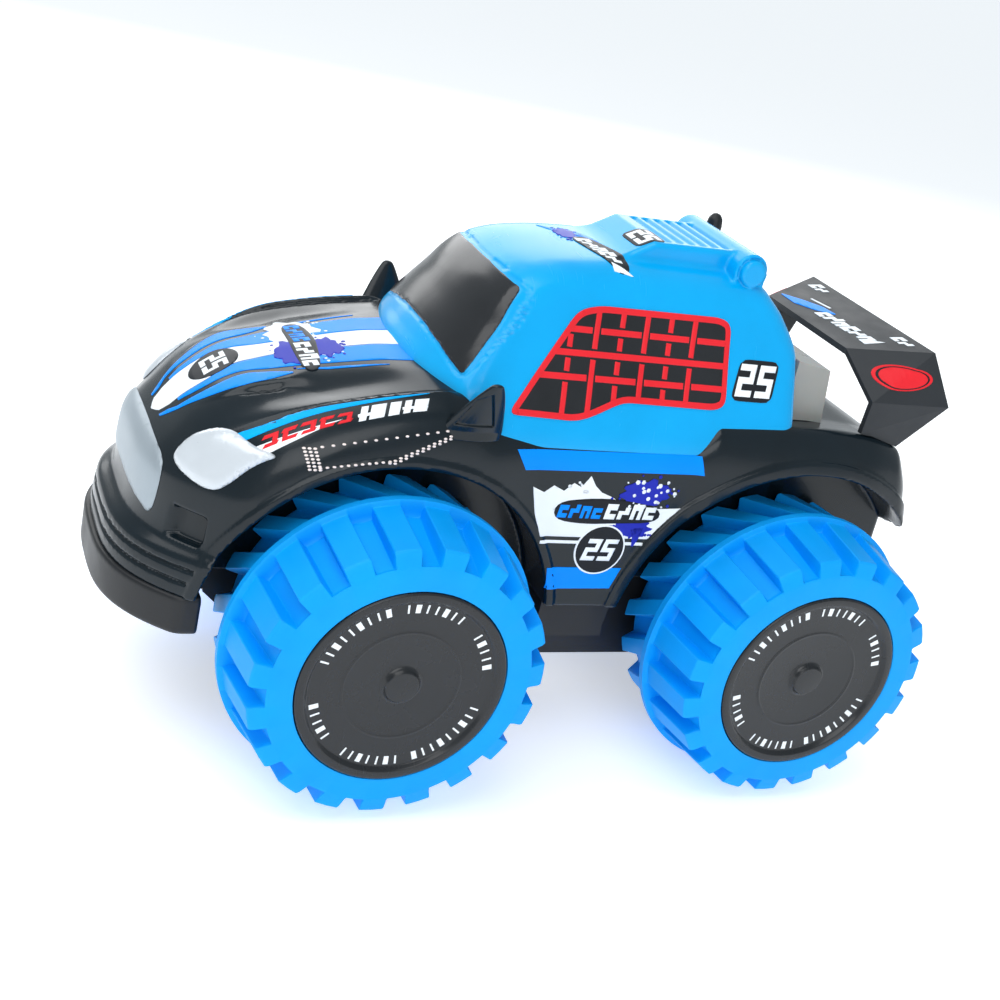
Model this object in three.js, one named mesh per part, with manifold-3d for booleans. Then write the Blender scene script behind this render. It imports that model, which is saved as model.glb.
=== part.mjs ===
// Amphibious radio-controlled stunt car with four paddle-tread wheels, a sealed hull and a light body shell.
// Millimetres. The car faces -Y, its left side is +X and +Z is up.
// The ground is Z = 0 and X = 0 is the centre plane.
import * as THREE from "three";
import { mergeVertices } from "three/addons/utils/BufferGeometryUtils.js";
import { ConvexGeometry } from "three/addons/geometries/ConvexGeometry.js";
import Module from "manifold-3d";

const wasm = await Module();
wasm.setup();

// ---------- driving dimensions ----------
const HALF_LENGTH = 145;
const GAP = 0.3; // clearance between pieces that touch
const WALL = 2.2; // moulded wall of the shells

const WHEEL_R = 52;
const WHEEL_FACE_X = 83; // outer face of a wheel
const WHEEL_WIDTH = 53;
const AXLE_Z = WHEEL_R;
const FRONT_Y = -61;
const REAR_Y = 90;
const WHEELBASE = REAR_Y - FRONT_Y;
const MID_Y = (FRONT_Y + REAR_Y) / 2;
const LUGS = 19;
const HUB_R = 34;

const FRONT_ARCH_R = 60;
const REAR_ARCH_R = 65;
const ARCH_INNER_X = 29.2; // inner face of a wheel well
const LINER_X = 27.2; // hull side of a wheel well's wall

const TUB_X = 26; // half width of the watertight hull
const TUB_BOTTOM = 28;
const TUB_TOP = 92;
const TUB_FRONT = -112;
const TUB_REAR = 128;
const BODY_BOTTOM = 62;

const GEAR_TEETH = 16;
const GEAR_PITCH_R = WHEELBASE / 8; // five equal gears in a row, a quarter of the wheelbase apart
const GEAR_MODULE = (2 * GEAR_PITCH_R) / GEAR_TEETH;
const SMALL_TEETH = 8;
const MOTOR_MODULE = 1;
const PINION_TEETH = 8;
const REDUCER_TEETH = 24;
const GEAR_X = [19.3, 23.3]; // main gear plane
const REDUCER_X = [12, 16];

const AXLE_R = 2.5;

// ---------- materials ----------
function material(color, roughness, metalness = 0, extra = {}) {
  return new THREE.MeshStandardMaterial({ color, roughness, metalness, ...extra });
}
const MATERIALS = {
  blackGloss: () => material(0x1b1f24, 0.28),
  blackPlastic: () => material(0x15171a, 0.55),
  cyanGloss: () => material(0x00a6e8, 0.3),
  azureRubber: () => material(0x0093f0, 0.5),
  windowBlack: () => material(0x0b0c0f, 0.15),
  silver: () => material(0xcfd6dc, 0.3, 0.2),
  greySilver: () => material(0x9aa4ac, 0.4, 0.3),
  greyLens: () => material(0xa9a49a, 0.3, 0, { transparent: true, opacity: 0.75 }),
  steel: () => material(0x9a9fa5, 0.35, 1),
  gearWhite: () => material(0xe8e6dc, 0.5),
  circuitGreen: () => material(0x1d6b3c, 0.5),
  batteryBlue: () => material(0x2b4fa0, 0.4),
};

const car = new THREE.Group();

function add(name, solidOrGeometry, makeMaterial) {
  const isSolid = typeof solidOrGeometry.getMesh === "function";
  const geometry = isSolid ? toGeometry(solidOrGeometry) : solidOrGeometry;
  const mesh = new THREE.Mesh(geometry, makeMaterial());
  mesh.name = name;
  car.add(mesh);
  return mesh;
}

// ---------- solids ----------
function toSolid(geometry) {
  const plain = new THREE.BufferGeometry();
  const source = geometry.index ? geometry.toNonIndexed() : geometry;
  plain.setAttribute("position", source.getAttribute("position"));
  const merged = mergeVertices(plain, 1e-3);
  const mesh = new wasm.Mesh({
    numProp: 3,
    vertProperties: merged.attributes.position.array,
    triVerts: new Uint32Array(merged.index.array),
  });
  return new wasm.Manifold(mesh);
}

function toGeometry(solid) {
  const mesh = solid.getMesh();
  const indexed = new THREE.BufferGeometry();
  indexed.setAttribute("position", new THREE.BufferAttribute(new Float32Array(mesh.vertProperties), 3));
  indexed.setIndex(new THREE.BufferAttribute(new Uint32Array(mesh.triVerts), 1));
  const geometry = indexed.toNonIndexed();
  geometry.computeVertexNormals();
  return geometry;
}

function union(first, ...others) {
  return others.reduce((sum, solid) => sum.add(solid), first);
}

function cut(first, ...others) {
  return others.reduce((rest, solid) => rest.subtract(solid), first);
}

// A box given by its low and high ends on each axis.
function box([x0, x1], [y0, y1], [z0, z1]) {
  const geometry = new THREE.BoxGeometry(x1 - x0, y1 - y0, z1 - z0);
  return toSolid(geometry.translate((x0 + x1) / 2, (y0 + y1) / 2, (z0 + z1) / 2));
}

// A solid of revolution about the X axis line through (y, z); the profile is a list of [radius, x].
function lathe(profile, y, z, segments, turn = 0) {
  const points = profile.map(([r, x]) => new THREE.Vector2(r, x));
  const geometry = new THREE.LatheGeometry(points, segments, turn);
  geometry.rotateZ(-Math.PI / 2);
  return orient(toSolid(geometry.translate(0, y, z)), geometry);
}

// LatheGeometry faces in or out with its profile's direction, so an inside-out solid is turned round.
function orient(solid, geometry) {
  return solid.volume() > 0 ? solid : toSolid(flip(geometry));
}

function rodX(r, [x0, x1], y, z, segments = 16) {
  const geometry = new THREE.CylinderGeometry(r, r, x1 - x0, segments);
  return toSolid(geometry.rotateZ(Math.PI / 2).translate((x0 + x1) / 2, y, z));
}

function rodZ(r, [z0, z1], x, y, segments = 12) {
  const geometry = new THREE.CylinderGeometry(r, r, z1 - z0, segments);
  return toSolid(geometry.rotateX(Math.PI / 2).translate(x, y, (z0 + z1) / 2));
}

function hull(points) {
  return toSolid(new ConvexGeometry(points.map(([x, y, z]) => new THREE.Vector3(x, y, z))));
}

// A prism along X of an outline given as [y, z] points.
function prismX(outline, [x0, x1]) {
  const shape = new THREE.Shape(outline.map(([y, z]) => new THREE.Vector2(y, z)));
  const geometry = new THREE.ExtrudeGeometry(shape, { depth: x1 - x0, bevelEnabled: false });
  const toX = new THREE.Matrix4().makeBasis(
    new THREE.Vector3(0, 1, 0),
    new THREE.Vector3(0, 0, 1),
    new THREE.Vector3(1, 0, 0),
  );
  return toSolid(geometry.applyMatrix4(toX).translate(x0, 0, 0));
}

// A prism along Y of an outline given as [x, z] points.
function prismY(outline, [y0, y1]) {
  const shape = new THREE.Shape(outline.map(([x, z]) => new THREE.Vector2(x, z)));
  const geometry = new THREE.ExtrudeGeometry(shape, { depth: y1 - y0, bevelEnabled: false });
  const toY = new THREE.Matrix4().makeBasis(
    new THREE.Vector3(1, 0, 0),
    new THREE.Vector3(0, 0, 1),
    new THREE.Vector3(0, -1, 0),
  );
  return toSolid(geometry.applyMatrix4(toY).translate(0, y1, 0));
}

// Turns every face of a geometry round.
function flip(geometry) {
  const flat = geometry.index ? geometry.toNonIndexed() : geometry;
  const position = flat.getAttribute("position").array;
  for (let i = 0; i < position.length; i += 9) {
    const second = position.slice(i + 3, i + 6);
    position.copyWithin(i + 3, i + 6, i + 9);
    position.set(second, i + 6);
  }
  return flat;
}

// Skins a stack of rings with the same number of points and closes both ends with flat caps.
function loft(rings) {
  const n = rings[0].length;
  const triangles = [];
  for (let k = 0; k + 1 < rings.length; k++) {
    for (let i = 0; i < n; i++) {
      const j = (i + 1) % n;
      triangles.push(rings[k][i], rings[k][j], rings[k + 1][j]);
      triangles.push(rings[k][i], rings[k + 1][j], rings[k + 1][i]);
    }
  }
  const centre = (ring) => [0, 1, 2].map((axis) => ring.reduce((sum, p) => sum + p[axis], 0) / n);
  const first = centre(rings[0]);
  const last = centre(rings[rings.length - 1]);
  for (let i = 0; i < n; i++) {
    const j = (i + 1) % n;
    triangles.push(rings[0][j], rings[0][i], first);
    triangles.push(rings[rings.length - 1][i], rings[rings.length - 1][j], last);
  }
  const geometry = new THREE.BufferGeometry();
  geometry.setAttribute("position", new THREE.Float32BufferAttribute(triangles.flat(), 3));
  const solid = toSolid(geometry);
  return solid.volume() > 0 ? solid : toSolid(flip(geometry));
}

// Value at t of a table of [position, value, value, ...] rows, straight between rows.
function lookUp(table, t) {
  if (t <= table[0][0]) return table[0].slice(1);
  for (let i = 1; i < table.length; i++) {
    if (t <= table[i][0]) {
      const [low, high] = [table[i - 1], table[i]];
      const share = (t - low[0]) / (high[0] - low[0]);
      return low.slice(1).map((value, k) => value + share * (high[k + 1] - value));
    }
  }
  return table[table.length - 1].slice(1);
}

// ---------- body surfaces ----------
// Cross-sections of the black body from nose to tail: [y, centre height, hood edge x, hood edge height,
// fender crest x, crest height, shoulder x, shoulder height, lip x, lip height].
const BODY_SECTIONS = [
  [-147, 97, 20, 96, 34, 89, 42, 82, 49, 72],
  [-138, 100, 20, 99, 34, 94, 43, 87, 50, 76],
  [-130, 106, 22, 105.5, 35, 102, 44, 94, 51, 84],
  [-122, 115, 20, 114.6, 38, 111.2, 46, 103.5, 52, 92],
  [-113, 121, 22, 120.7, 41, 118, 48, 110.5, 53, 100],
  [-100, 126.4, 23, 126, 42.5, 123, 49, 115.5, 53, 108],
  [-86, 130, 23, 129.6, 43.2, 127.4, 49, 120.5, 53, 113],
  [-61, 134, 24, 133.7, 43.5, 132.6, 50, 125.5, 53, 117],
  [-45, 135.7, 28, 135, 43, 134, 50, 127, 52.5, 118],
  [-33, 126, 28, 126, 44, 126, 49, 122.5, 51.5, 117],
  [-15, 122.5, 28, 122.5, 44, 122.5, 48.6, 121.5, 49.6, 117],
  [38, 122.5, 28, 122.5, 44, 122.5, 48.6, 121.5, 49.6, 118],
  [50, 128.5, 28, 128.5, 44, 131, 49, 127, 51, 120],
  [90, 129, 28, 129, 45, 131.5, 49.5, 126, 52, 120],
  [112, 128, 28, 128, 45, 130, 49.5, 124, 51.5, 118],
  [126, 125, 28, 125, 44, 126, 48.5, 120, 50, 113],
  [135, 119, 28, 119, 42, 118, 47, 112, 49, 105],
  [147, 108, 28, 108, 40, 107, 45, 101, 48, 95],
];

// Plan view of the nose and tail at each height: [z, nose y at the centre, tail y at the centre].
const BODY_ENDS = [
  [50, -HALF_LENGTH, HALF_LENGTH],
  [66, -144, HALF_LENGTH],
  [74, -143, 144.5],
  [78, -138.5, 144],
  [96, -136.5, 143],
  [104, -132, 141],
  [112, -126, 139],
  [122, -115, 135],
  [140, -95, 128],
];

function bodyRing([y, z0, xh, zh, xc, zc, xs, zs, xl, zl], inset, bottom) {
  const half = [
    [0, z0],
    [xh, zh],
    [xc, zc],
    [xs, zs],
    [xl, zl],
    [xl, (zl + bottom) / 2],
  ];
  const right = half.map(([x, z]) => [Math.max(x - inset, 0), y, z - inset]);
  right.push([xl - inset, y, bottom]);
  const left = right
    .slice(1)
    .reverse()
    .map(([x, , z]) => [-x, y, z]);
  return [...right, ...left];
}

// Plan outline at height z: the nose and tail are blunt curves that fall back towards the corners.
function planRing([z, nose, tail], inset) {
  const halfWidth = 56 - inset;
  const steps = [-1, -0.8, -0.6, -0.4, 0, 0.4, 0.6, 0.8, 1];
  const front = steps.map((s) => [s * halfWidth, nose + inset + 34 * Math.abs(s) ** 3, z]);
  const back = [...steps].reverse().map((s) => [s * halfWidth, tail - inset - 12 * Math.abs(s) ** 4, z]);
  return [...front, ...back];
}

function bodySolid(inset, bottom) {
  const along = loft(BODY_SECTIONS.map((section) => bodyRing(section, inset, bottom)));
  const ends = loft(BODY_ENDS.map((row) => planRing(row, inset)));
  return along.intersect(ends);
}

function wellCutters(extraRadius, innerX) {
  const cutters = [];
  for (const side of [-1, 1]) {
    const span = [innerX, 70].map((x) => side * x).sort((a, b) => a - b);
    cutters.push(rodX(FRONT_ARCH_R + extraRadius, span, FRONT_Y, AXLE_Z, 32));
    cutters.push(rodX(REAR_ARCH_R + extraRadius, span, REAR_Y, AXLE_Z, 32));
  }
  return union(...cutters);
}

// Cabin rings from its foot to its roof: [z, front y at the centre, bow of the front, half width, rear y].
const CABIN_RINGS = [
  [118, -47, 8, 48.6, 80],
  [124, -52, 12, 47.5, 80],
  [134, -56, 15, 43.8, 80],
  [140, -52, 13.5, 41, 80],
  [152, -43, 11.5, 35.8, 79.5],
  [165, -33, 9, 30.6, 72.5],
  [170, -25, 8, 27.5, 68.5],
  [173.5, -15, 6, 23.5, 66],
  [175.5, -2, 4, 18, 61],
];

function cabinRing([z, front, bow, halfWidth, rear], inset) {
  const w = halfWidth - inset;
  const top = z === CABIN_RINGS[CABIN_RINGS.length - 1][0] ? z - inset : z;
  const bend = [-1, -0.72, -0.4, 0, 0.4, 0.72, 1];
  const nose = bend.map((s) => [s * w, front + inset * 1.2 + bow * Math.abs(s) ** 2.4, top]);
  const tail = [
    [w, (front + rear) / 2, top],
    [w, rear - 6, top],
    [w - 4, rear - inset, top],
    [-w + 4, rear - inset, top],
    [-w, rear - 6, top],
    [-w, (front + rear) / 2, top],
  ];
  return [...nose, ...tail];
}

function cabinSolid(inset) {
  return loft(CABIN_RINGS.map((row) => cabinRing(row, inset)));
}

// ---------- hull ----------
function lowerHull() {
  const outline = [
    [TUB_FRONT, TUB_TOP],
    [TUB_FRONT, 52],
    [TUB_FRONT + 26, TUB_BOTTOM],
    [TUB_REAR - 22, TUB_BOTTOM],
    [TUB_REAR, 48],
    [TUB_REAR, TUB_TOP],
  ];
  const inner = outline.map(([y, z]) => [
    y + (y < 0 ? WALL : -WALL),
    z === TUB_TOP ? TUB_TOP + 5 : z + (z === TUB_BOTTOM ? WALL : WALL / 2),
  ]);
  const tub = prismX(outline, [-TUB_X, TUB_X]);
  const hollow = prismX(inner, [-TUB_X + WALL, TUB_X - WALL]);
  const bumperPlan = loft([50, BODY_BOTTOM - GAP].map((z) => planRing([z, -HALF_LENGTH, HALF_LENGTH], 0)));
  const bumpers = union(
    box([-47, 47], [-146, TUB_FRONT - 6], [50, BODY_BOTTOM - GAP]),
    box([-TUB_X, TUB_X], [TUB_REAR - 1, 146], [52, BODY_BOTTOM - GAP]),
  ).intersect(bumperPlan);
  const neck = box([-TUB_X, TUB_X], [TUB_FRONT - 8, TUB_FRONT + 1], [53, BODY_BOTTOM - GAP]);
  const sills = union(
    box([TUB_X - 1, 46], [-1, 30], [48, BODY_BOTTOM - GAP]),
    box([-46, -TUB_X + 1], [-1, 30], [48, BODY_BOTTOM - GAP]),
  );
  const bay = box([-BAY.x - 1.5, BAY.x + 1.5], [BAY.y[0] - 1.5, BAY.y[1] + 1.5], [TUB_BOTTOM, BAY.top + 1.5]);
  const wells = wellCutters(0, ARCH_INNER_X - 1);
  let solid = cut(union(cut(tub, hollow), bumpers, neck, sills), wells);
  const floorPad = box(
    [-DOOR.x - 3, DOOR.x + 3],
    [DOOR.y[0] - 3, DOOR.y[1] + 3],
    [TUB_BOTTOM, TUB_BOTTOM + 4.5]
  );
  solid = union(solid, bay.intersect(tub), floorPad);
  solid = solid.subtract(box([-BAY.x, BAY.x], BAY.y, [TUB_BOTTOM - 1, BAY.top]));
  solid = solid.subtract(box([-DOOR.x, DOOR.x], DOOR.y, [TUB_BOTTOM - 1, TUB_BOTTOM + DOOR.thick + GAP]));
  for (const y of DOOR_SCREW_Y) {
    solid = solid.add(rodZ(4, [TUB_BOTTOM + DOOR.thick + GAP, TUB_BOTTOM + 12], 0, y, 12));
    solid = solid.subtract(rodZ(1.7, [TUB_BOTTOM, TUB_BOTTOM + 10], 0, y, 8));
  }
  solid = solid.subtract(
    box([-SWITCH.x - 1, SWITCH.x + 1], SWITCH.slot, [TUB_BOTTOM - 1, TUB_BOTTOM + WALL + 1])
  );
  for (const side of [1, -1]) {
    const reducer = reducerPlace(side);
    const pin = [11.8, TUB_X - 1].map((x) => side * x).sort((a, b) => a - b);
    solid = solid.add(rodX(1.5, pin, reducer.y, reducer.z, 8));
    for (const y of [FRONT_Y, REAR_Y]) {
      const hole = [TUB_X - 4, TUB_X + 2].map((x) => side * x).sort((a, b) => a - b);
      solid = solid.subtract(rodX(BUSH_R + GAP, hole, y, AXLE_Z, 16));
    }
  }
  return solid;
}

const BAY = { x: 12.5, y: [-22, 40], top: 50 };
const DOOR = { x: 15.5, y: [-36, 54], thick: 2 };
const DOOR_SCREW_Y = [-29, 47];
const SWITCH = { x: 3.2, y: [78, 85], slot: [76, 90.5], travel: 3.5 };
const BUSH_R = 5.5;

// The reducer stands above the middle gear, leaning back on the left side and forward on the right.
function reducerPlace(side) {
  const reach = GEAR_PITCH_R + (SMALL_TEETH * GEAR_MODULE) / 2;
  const lean = Math.PI / 3;
  return { y: MID_Y + side * reach * Math.cos(lean), z: AXLE_Z + reach * Math.sin(lean), reach, lean };
}

function motorPlace(side) {
  const reducer = reducerPlace(side);
  const reach = ((PINION_TEETH + REDUCER_TEETH) * MOTOR_MODULE) / 2;
  const lean = -Math.PI / 4;
  return { y: reducer.y + side * reach * Math.cos(lean), z: reducer.z + reach * Math.sin(lean), reach, lean };
}

function hullLid() {
  const plate = box([-TUB_X, TUB_X], [TUB_FRONT, TUB_REAR], [TUB_TOP + GAP, TUB_TOP + 2.3]);
  const rim = box(
    [-TUB_X + WALL + GAP, TUB_X - WALL - GAP],
    [TUB_FRONT + 3, TUB_REAR - 3],
    [TUB_TOP - 2, TUB_TOP + 1]
  );
  const rimHollow = box([-TUB_X + 5, TUB_X - 5], [TUB_FRONT + 6, TUB_REAR - 6], [TUB_TOP - 3, TUB_TOP + GAP]);
  return union(plate, cut(rim, rimHollow));
}

// ---------- outer shells ----------
function upperBody() {
  const outer = bodySolid(0, BODY_BOTTOM);
  const inner = cut(bodySolid(WALL, BODY_BOTTOM - 4), wellCutters(WALL, LINER_X));
  const tunnel = box([-LINER_X, LINER_X], [TUB_FRONT - 3, TUB_REAR + 3], [BODY_BOTTOM - 1, 100]);
  let shell = cut(outer, wellCutters(0, ARCH_INNER_X), inner, tunnel);
  for (const opening of [headlightRegion(1, GAP), headlightRegion(-1, GAP), grilleRegion(GAP)]) {
    shell = shell.subtract(opening.subtract(bodySolid(1.5, BODY_BOTTOM)));
  }
  const vents = [-1, 1].map((side) => {
    const x = [35, 44].map((v) => side * v).sort((a, b) => a - b);
    return box(x, [-146, -122], [80, 91]).subtract(bodySolid(1.2, BODY_BOTTOM));
  });
  return cut(shell, ...vents);
}

// Front view of a headlight: pointed towards the grille, round towards the fender.
function headlightRegion(side, margin) {
  const m = margin;
  const outline = [
    [30 - 2 * m, 101],
    [36, 94.5 - m],
    [44, 92.5 - m],
    [49, 96 - m],
    [54 + m, 104],
    [52 + m, 110],
    [48, 114 + m],
    [41, 115.5 + m],
    [34, 109.5 + m],
  ].map(([x, z]) => [side * x, z]);
  return prismY(outline, [-147, -108]);
}

function grilleRegion(margin) {
  const m = margin;
  const outline = [
    [-31 - m, 97 + m],
    [-26 - m, 82 - m],
    [0, 80 - m],
    [26 + m, 82 - m],
    [31 + m, 97 + m],
    [16, 99.5 + m],
    [0, 100 + m],
    [-16, 99.5 + m],
  ];
  return prismY(outline, [-147, -118]);
}

function frontInsert(region, proud) {
  return region.intersect(bodySolid(-proud, BODY_BOTTOM).subtract(bodySolid(1.2, BODY_BOTTOM)));
}

// Side view of a side window as [y, z] points, sloping down at the front.
function sideWindowOutline(margin) {
  const m = margin;
  return [
    [-30.5 - m, 129 - m],
    [-8.5 - m, 161],
    [-1, 163 + m],
    [45, 163.2 + m],
    [49 + m, 161],
    [49.2 + m, 137],
    [45.5, 135 - m],
    [10.5, 135 - m],
    [-1.3, 129.8 - m],
    [-7, 128.6 - m],
  ];
}

// Front view of the windscreen as [x, z] points.
function windscreenOutline(margin) {
  const m = margin;
  return [
    [-40 - m, 138.5 - m],
    [-20, 138 - m],
    [0, 137.8 - m],
    [20, 138 - m],
    [40 + m, 138.5 - m],
    [28.5 + m, 164 + m],
    [0, 167 + m],
    [-28.5 - m, 164 + m],
  ];
}

function cabinShell() {
  const outer = cabinSolid(0);
  const inner = cabinSolid(WALL + 1);
  const roofBox = union(
    prismX(
      [
        [4, 172],
        [22, 182],
        [60, 182.5],
        [64, 176],
        [64, 165],
        [4, 165],
      ],
      [-17, 17],
    ),
    rodX(4.8, [-25.5, 25.5], 57, 177.6, 16),
    box([-25, 25], [52.5, 61.5], [166, 177.6]),
  );
  const louvres = [];
  for (let i = 0; i < 5; i++) {
    louvres.push(box([-14, 14], [27 + 5 * i, 29.4 + 5 * i], [181, 184]));
  }
  let shell = cut(union(outer, cut(roofBox, ...louvres)), inner);
  shell = shell.subtract(bodySolid(-GAP, BODY_BOTTOM)).subtract(box([-60, 60], [-70, 90], [100, 122.8]));
  const shallow = cabinSolid(1.8);
  const glassZone = prismY(windscreenOutline(GAP), [-60, -5]).subtract(shallow);
  shell = shell.subtract(glassZone);
  for (const span of [[10, 60], [-60, -10]]) {
    shell = shell.subtract(prismX(sideWindowOutline(GAP), span).subtract(shallow));
  }
  return shell.subtract(rodZ(3 + GAP, [150, 190], ANTENNA.x, ANTENNA.y));
}

function cabinPanel(region, depth, thickness) {
  return region.intersect(cabinSolid(depth).subtract(cabinSolid(depth + thickness)));
}

// ---------- spoiler ----------
const SPOILER = {
  topFront: [27, 102.5, 156],
  topRear: [40.5, 130, 162],
  elbowFront: [46, 106, 143.5],
  elbowRear: [50, 136, 145.5],
  footFront: [44, 107.5, 130.6],
  footRear: [44, 124.5, 126.6],
  thick: 2.2,
};

function plate(corners, inward) {
  const shifted = corners.map((p) => p.map((value, axis) => value + inward[axis]));
  return hull([...corners, ...shifted]);
}

function spoiler() {
  const t = SPOILER.thick;
  const mirror = ([x, y, z]) => [-x, y, z];
  const { topFront, topRear, elbowFront, elbowRear, footFront, footRear } = SPOILER;
  const top = plate([topFront, topRear, mirror(topFront), mirror(topRear)], [0, 0, -t]);
  const right = [
    plate([topFront, topRear, elbowFront, elbowRear], [-t, 0, -t * 0.4]),
    plate([elbowFront, elbowRear, footFront, footRear], [-t, 0, 0]),
  ];
  const left = [
    plate([topFront, topRear, elbowFront, elbowRear].map(mirror), [t, 0, -t * 0.4]),
    plate([elbowFront, elbowRear, footFront, footRear].map(mirror), [t, 0, 0]),
  ];
  const whole = union(top, ...right, ...left);
  return whole.subtract(bodySolid(-GAP, BODY_BOTTOM));
}

// ---------- wheels ----------
// The crown ring is a polygon whose flats lie WHEEL_R from the axle, so the car stands on flats.
const CROWN_R = WHEEL_R / Math.cos(Math.PI / (2 * LUGS));

// The tyre's cross-section, row by row across its width, measured inboard from the outer face:
// [radius on a lug, radius in a groove, depth, share of the inner lugs' slant].
const TYRE_ROWS = [
  [HUB_R + 0.3, HUB_R + 0.3, 0.6, 0],
  [42.6, 42.6, 0.9, 0],
  [47.8, 43.2, 2.4, 0],
  [50.4, 48, 25.2, 0],
  [CROWN_R, CROWN_R, 25.5, 0],
  [CROWN_R, CROWN_R, 28.5, 0],
  [50.6, 46.6, 28.8, 0],
  [48.4, 43.4, 50.5, 1],
  [HUB_R + 0.3, HUB_R + 0.3, WHEEL_WIDTH, 1],
  [40.6, 40.6, 47, 0.9],
  [40.6, 40.6, 6, 0],
];
const CROWN_ROW = 4;

// Lugs and grooves alternate round the tyre; the inner half is half a pitch out of step and slants.
function tyre(y) {
  const sectors = 2 * LUGS;
  const step = (2 * Math.PI) / sectors;
  const slant = -1.6 * step;
  const rows = TYRE_ROWS.length;
  const point = (row, edge, raised) => {
    const [onLug, inGroove, depth, share] = TYRE_ROWS[row % rows];
    const radius = raised ? onLug : inGroove;
    const angle = edge * step + share * slant;
    return [WHEEL_FACE_X - depth, y - radius * Math.cos(angle), AXLE_Z + radius * Math.sin(angle)];
  };
  const isLug = (row, sector) => (sector % 2 === 0) === row < CROWN_ROW;
  const triangles = [];
  const quad = (a, b, c, d) => triangles.push(a, b, c, a, c, d);
  for (let row = 0; row < rows; row++) {
    for (let sector = 0; sector < sectors; sector++) {
      const lug = isLug(row, sector);
      const corners = [point(row, sector, lug), point(row + 1, sector, lug)];
      quad(...corners, point(row + 1, sector + 1, lug), point(row, sector + 1, lug));
      const [low, high] = [point(row, sector, false), point(row, sector, true)];
      const [lowNext, highNext] = [point(row + 1, sector, false), point(row + 1, sector, true)];
      if (lug) quad(low, lowNext, highNext, high);
      else quad(high, highNext, lowNext, low);
    }
  }
  const kept = [];
  for (let i = 0; i < triangles.length; i += 3) {
    const [a, b, c] = triangles.slice(i, i + 3).map((p) => new THREE.Vector3(...p));
    const area = b.clone().sub(a).cross(c.clone().sub(a)).length();
    if (area > 1e-6) kept.push(...triangles.slice(i, i + 3));
  }
  const geometry = new THREE.BufferGeometry();
  geometry.setAttribute("position", new THREE.Float32BufferAttribute(kept.flat(), 3));
  return orient(toSolid(geometry), geometry);
}

function rim(y) {
  const profile = [
    [AXLE_R + GAP, 10],
    [8, 10],
    [8, 20],
    [31.4, 20],
    [31.4, 6],
    [HUB_R, 6],
    [HUB_R, WHEEL_WIDTH],
    [31.4, WHEEL_WIDTH],
    [31.4, 23],
    [8, 23],
    [8, 44],
    [AXLE_R + GAP, 44],
    [AXLE_R + GAP, 10],
  ].map(([r, depth]) => [r, WHEEL_FACE_X - depth]);
  return lathe(profile, y, AXLE_Z, 16);
}

function hubcap(y) {
  const profile = [
    [0, 5.6],
    [HUB_R, 5.6],
    [HUB_R, 0],
    [31, 0],
    [30, 1.6],
    [6.5, 2.6],
    [5.2, 0.8],
    [0, 0.8],
  ].map(([r, depth]) => [r, WHEEL_FACE_X - depth]);
  return lathe(profile, y, AXLE_Z, 28);
}

function axle(y) {
  return union(
    rodX(AXLE_R, [14.5, WHEEL_FACE_X - 7], y, AXLE_Z, 12),
    rodX(4.2, [TUB_X + 3.6, TUB_X + 5.6], y, AXLE_Z, 12),
  );
}

function bushing(y) {
  const profile = [
    [AXLE_R + GAP, TUB_X - 2.4],
    [BUSH_R, TUB_X - 2.4],
    [BUSH_R, TUB_X + GAP],
    [7.5, TUB_X + GAP],
    [7.5, TUB_X + 2.8],
    [AXLE_R + GAP, TUB_X + 2.8],
    [AXLE_R + GAP, TUB_X - 2.4],
  ];
  return lathe(profile, y, AXLE_Z, 16);
}

// ---------- gears ----------
// One tooth is a trapezium, so a gear outline is four points to a tooth; the phase turns a tooth to +Y.
function gearOutline(teeth, module, phase) {
  const pitchR = (teeth * module) / 2;
  const tip = pitchR + 0.85 * module;
  const root = pitchR - 1.15 * module;
  const pitch = (2 * Math.PI) / teeth;
  const points = [];
  for (let i = 0; i < teeth; i++) {
    const a = phase + i * pitch;
    for (const [radius, share] of [
      [root, -0.3],
      [tip, -0.12],
      [tip, 0.12],
      [root, 0.3],
    ]) {
      points.push([radius * Math.cos(a + share * pitch), radius * Math.sin(a + share * pitch)]);
    }
  }
  return points;
}

function gear({ teeth, module, span, y, z, phase, bore, hubR = 0, hubSpan = span }) {
  const outline = gearOutline(teeth, module, phase).map(([dy, dz]) => [y + dy, z + dz]);
  let solid = prismX(outline, span);
  if (hubR) solid = solid.add(rodX(hubR, hubSpan, y, z, 12));
  const through = [Math.min(span[0], hubSpan[0]) - 1, Math.max(span[1], hubSpan[1]) + 1];
  return solid.subtract(rodX(bore, through, y, z, 8));
}

// Phase that puts a gap of the driven gear where the driver has a tooth, seen along the line of centres.
function meshPhase(driverTeeth, driverPhase, drivenTeeth, lineAngle) {
  const turns = 0.5 - ((lineAngle - driverPhase) * driverTeeth) / (2 * Math.PI);
  return lineAngle + Math.PI - (turns * 2 * Math.PI) / drivenTeeth;
}

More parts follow.
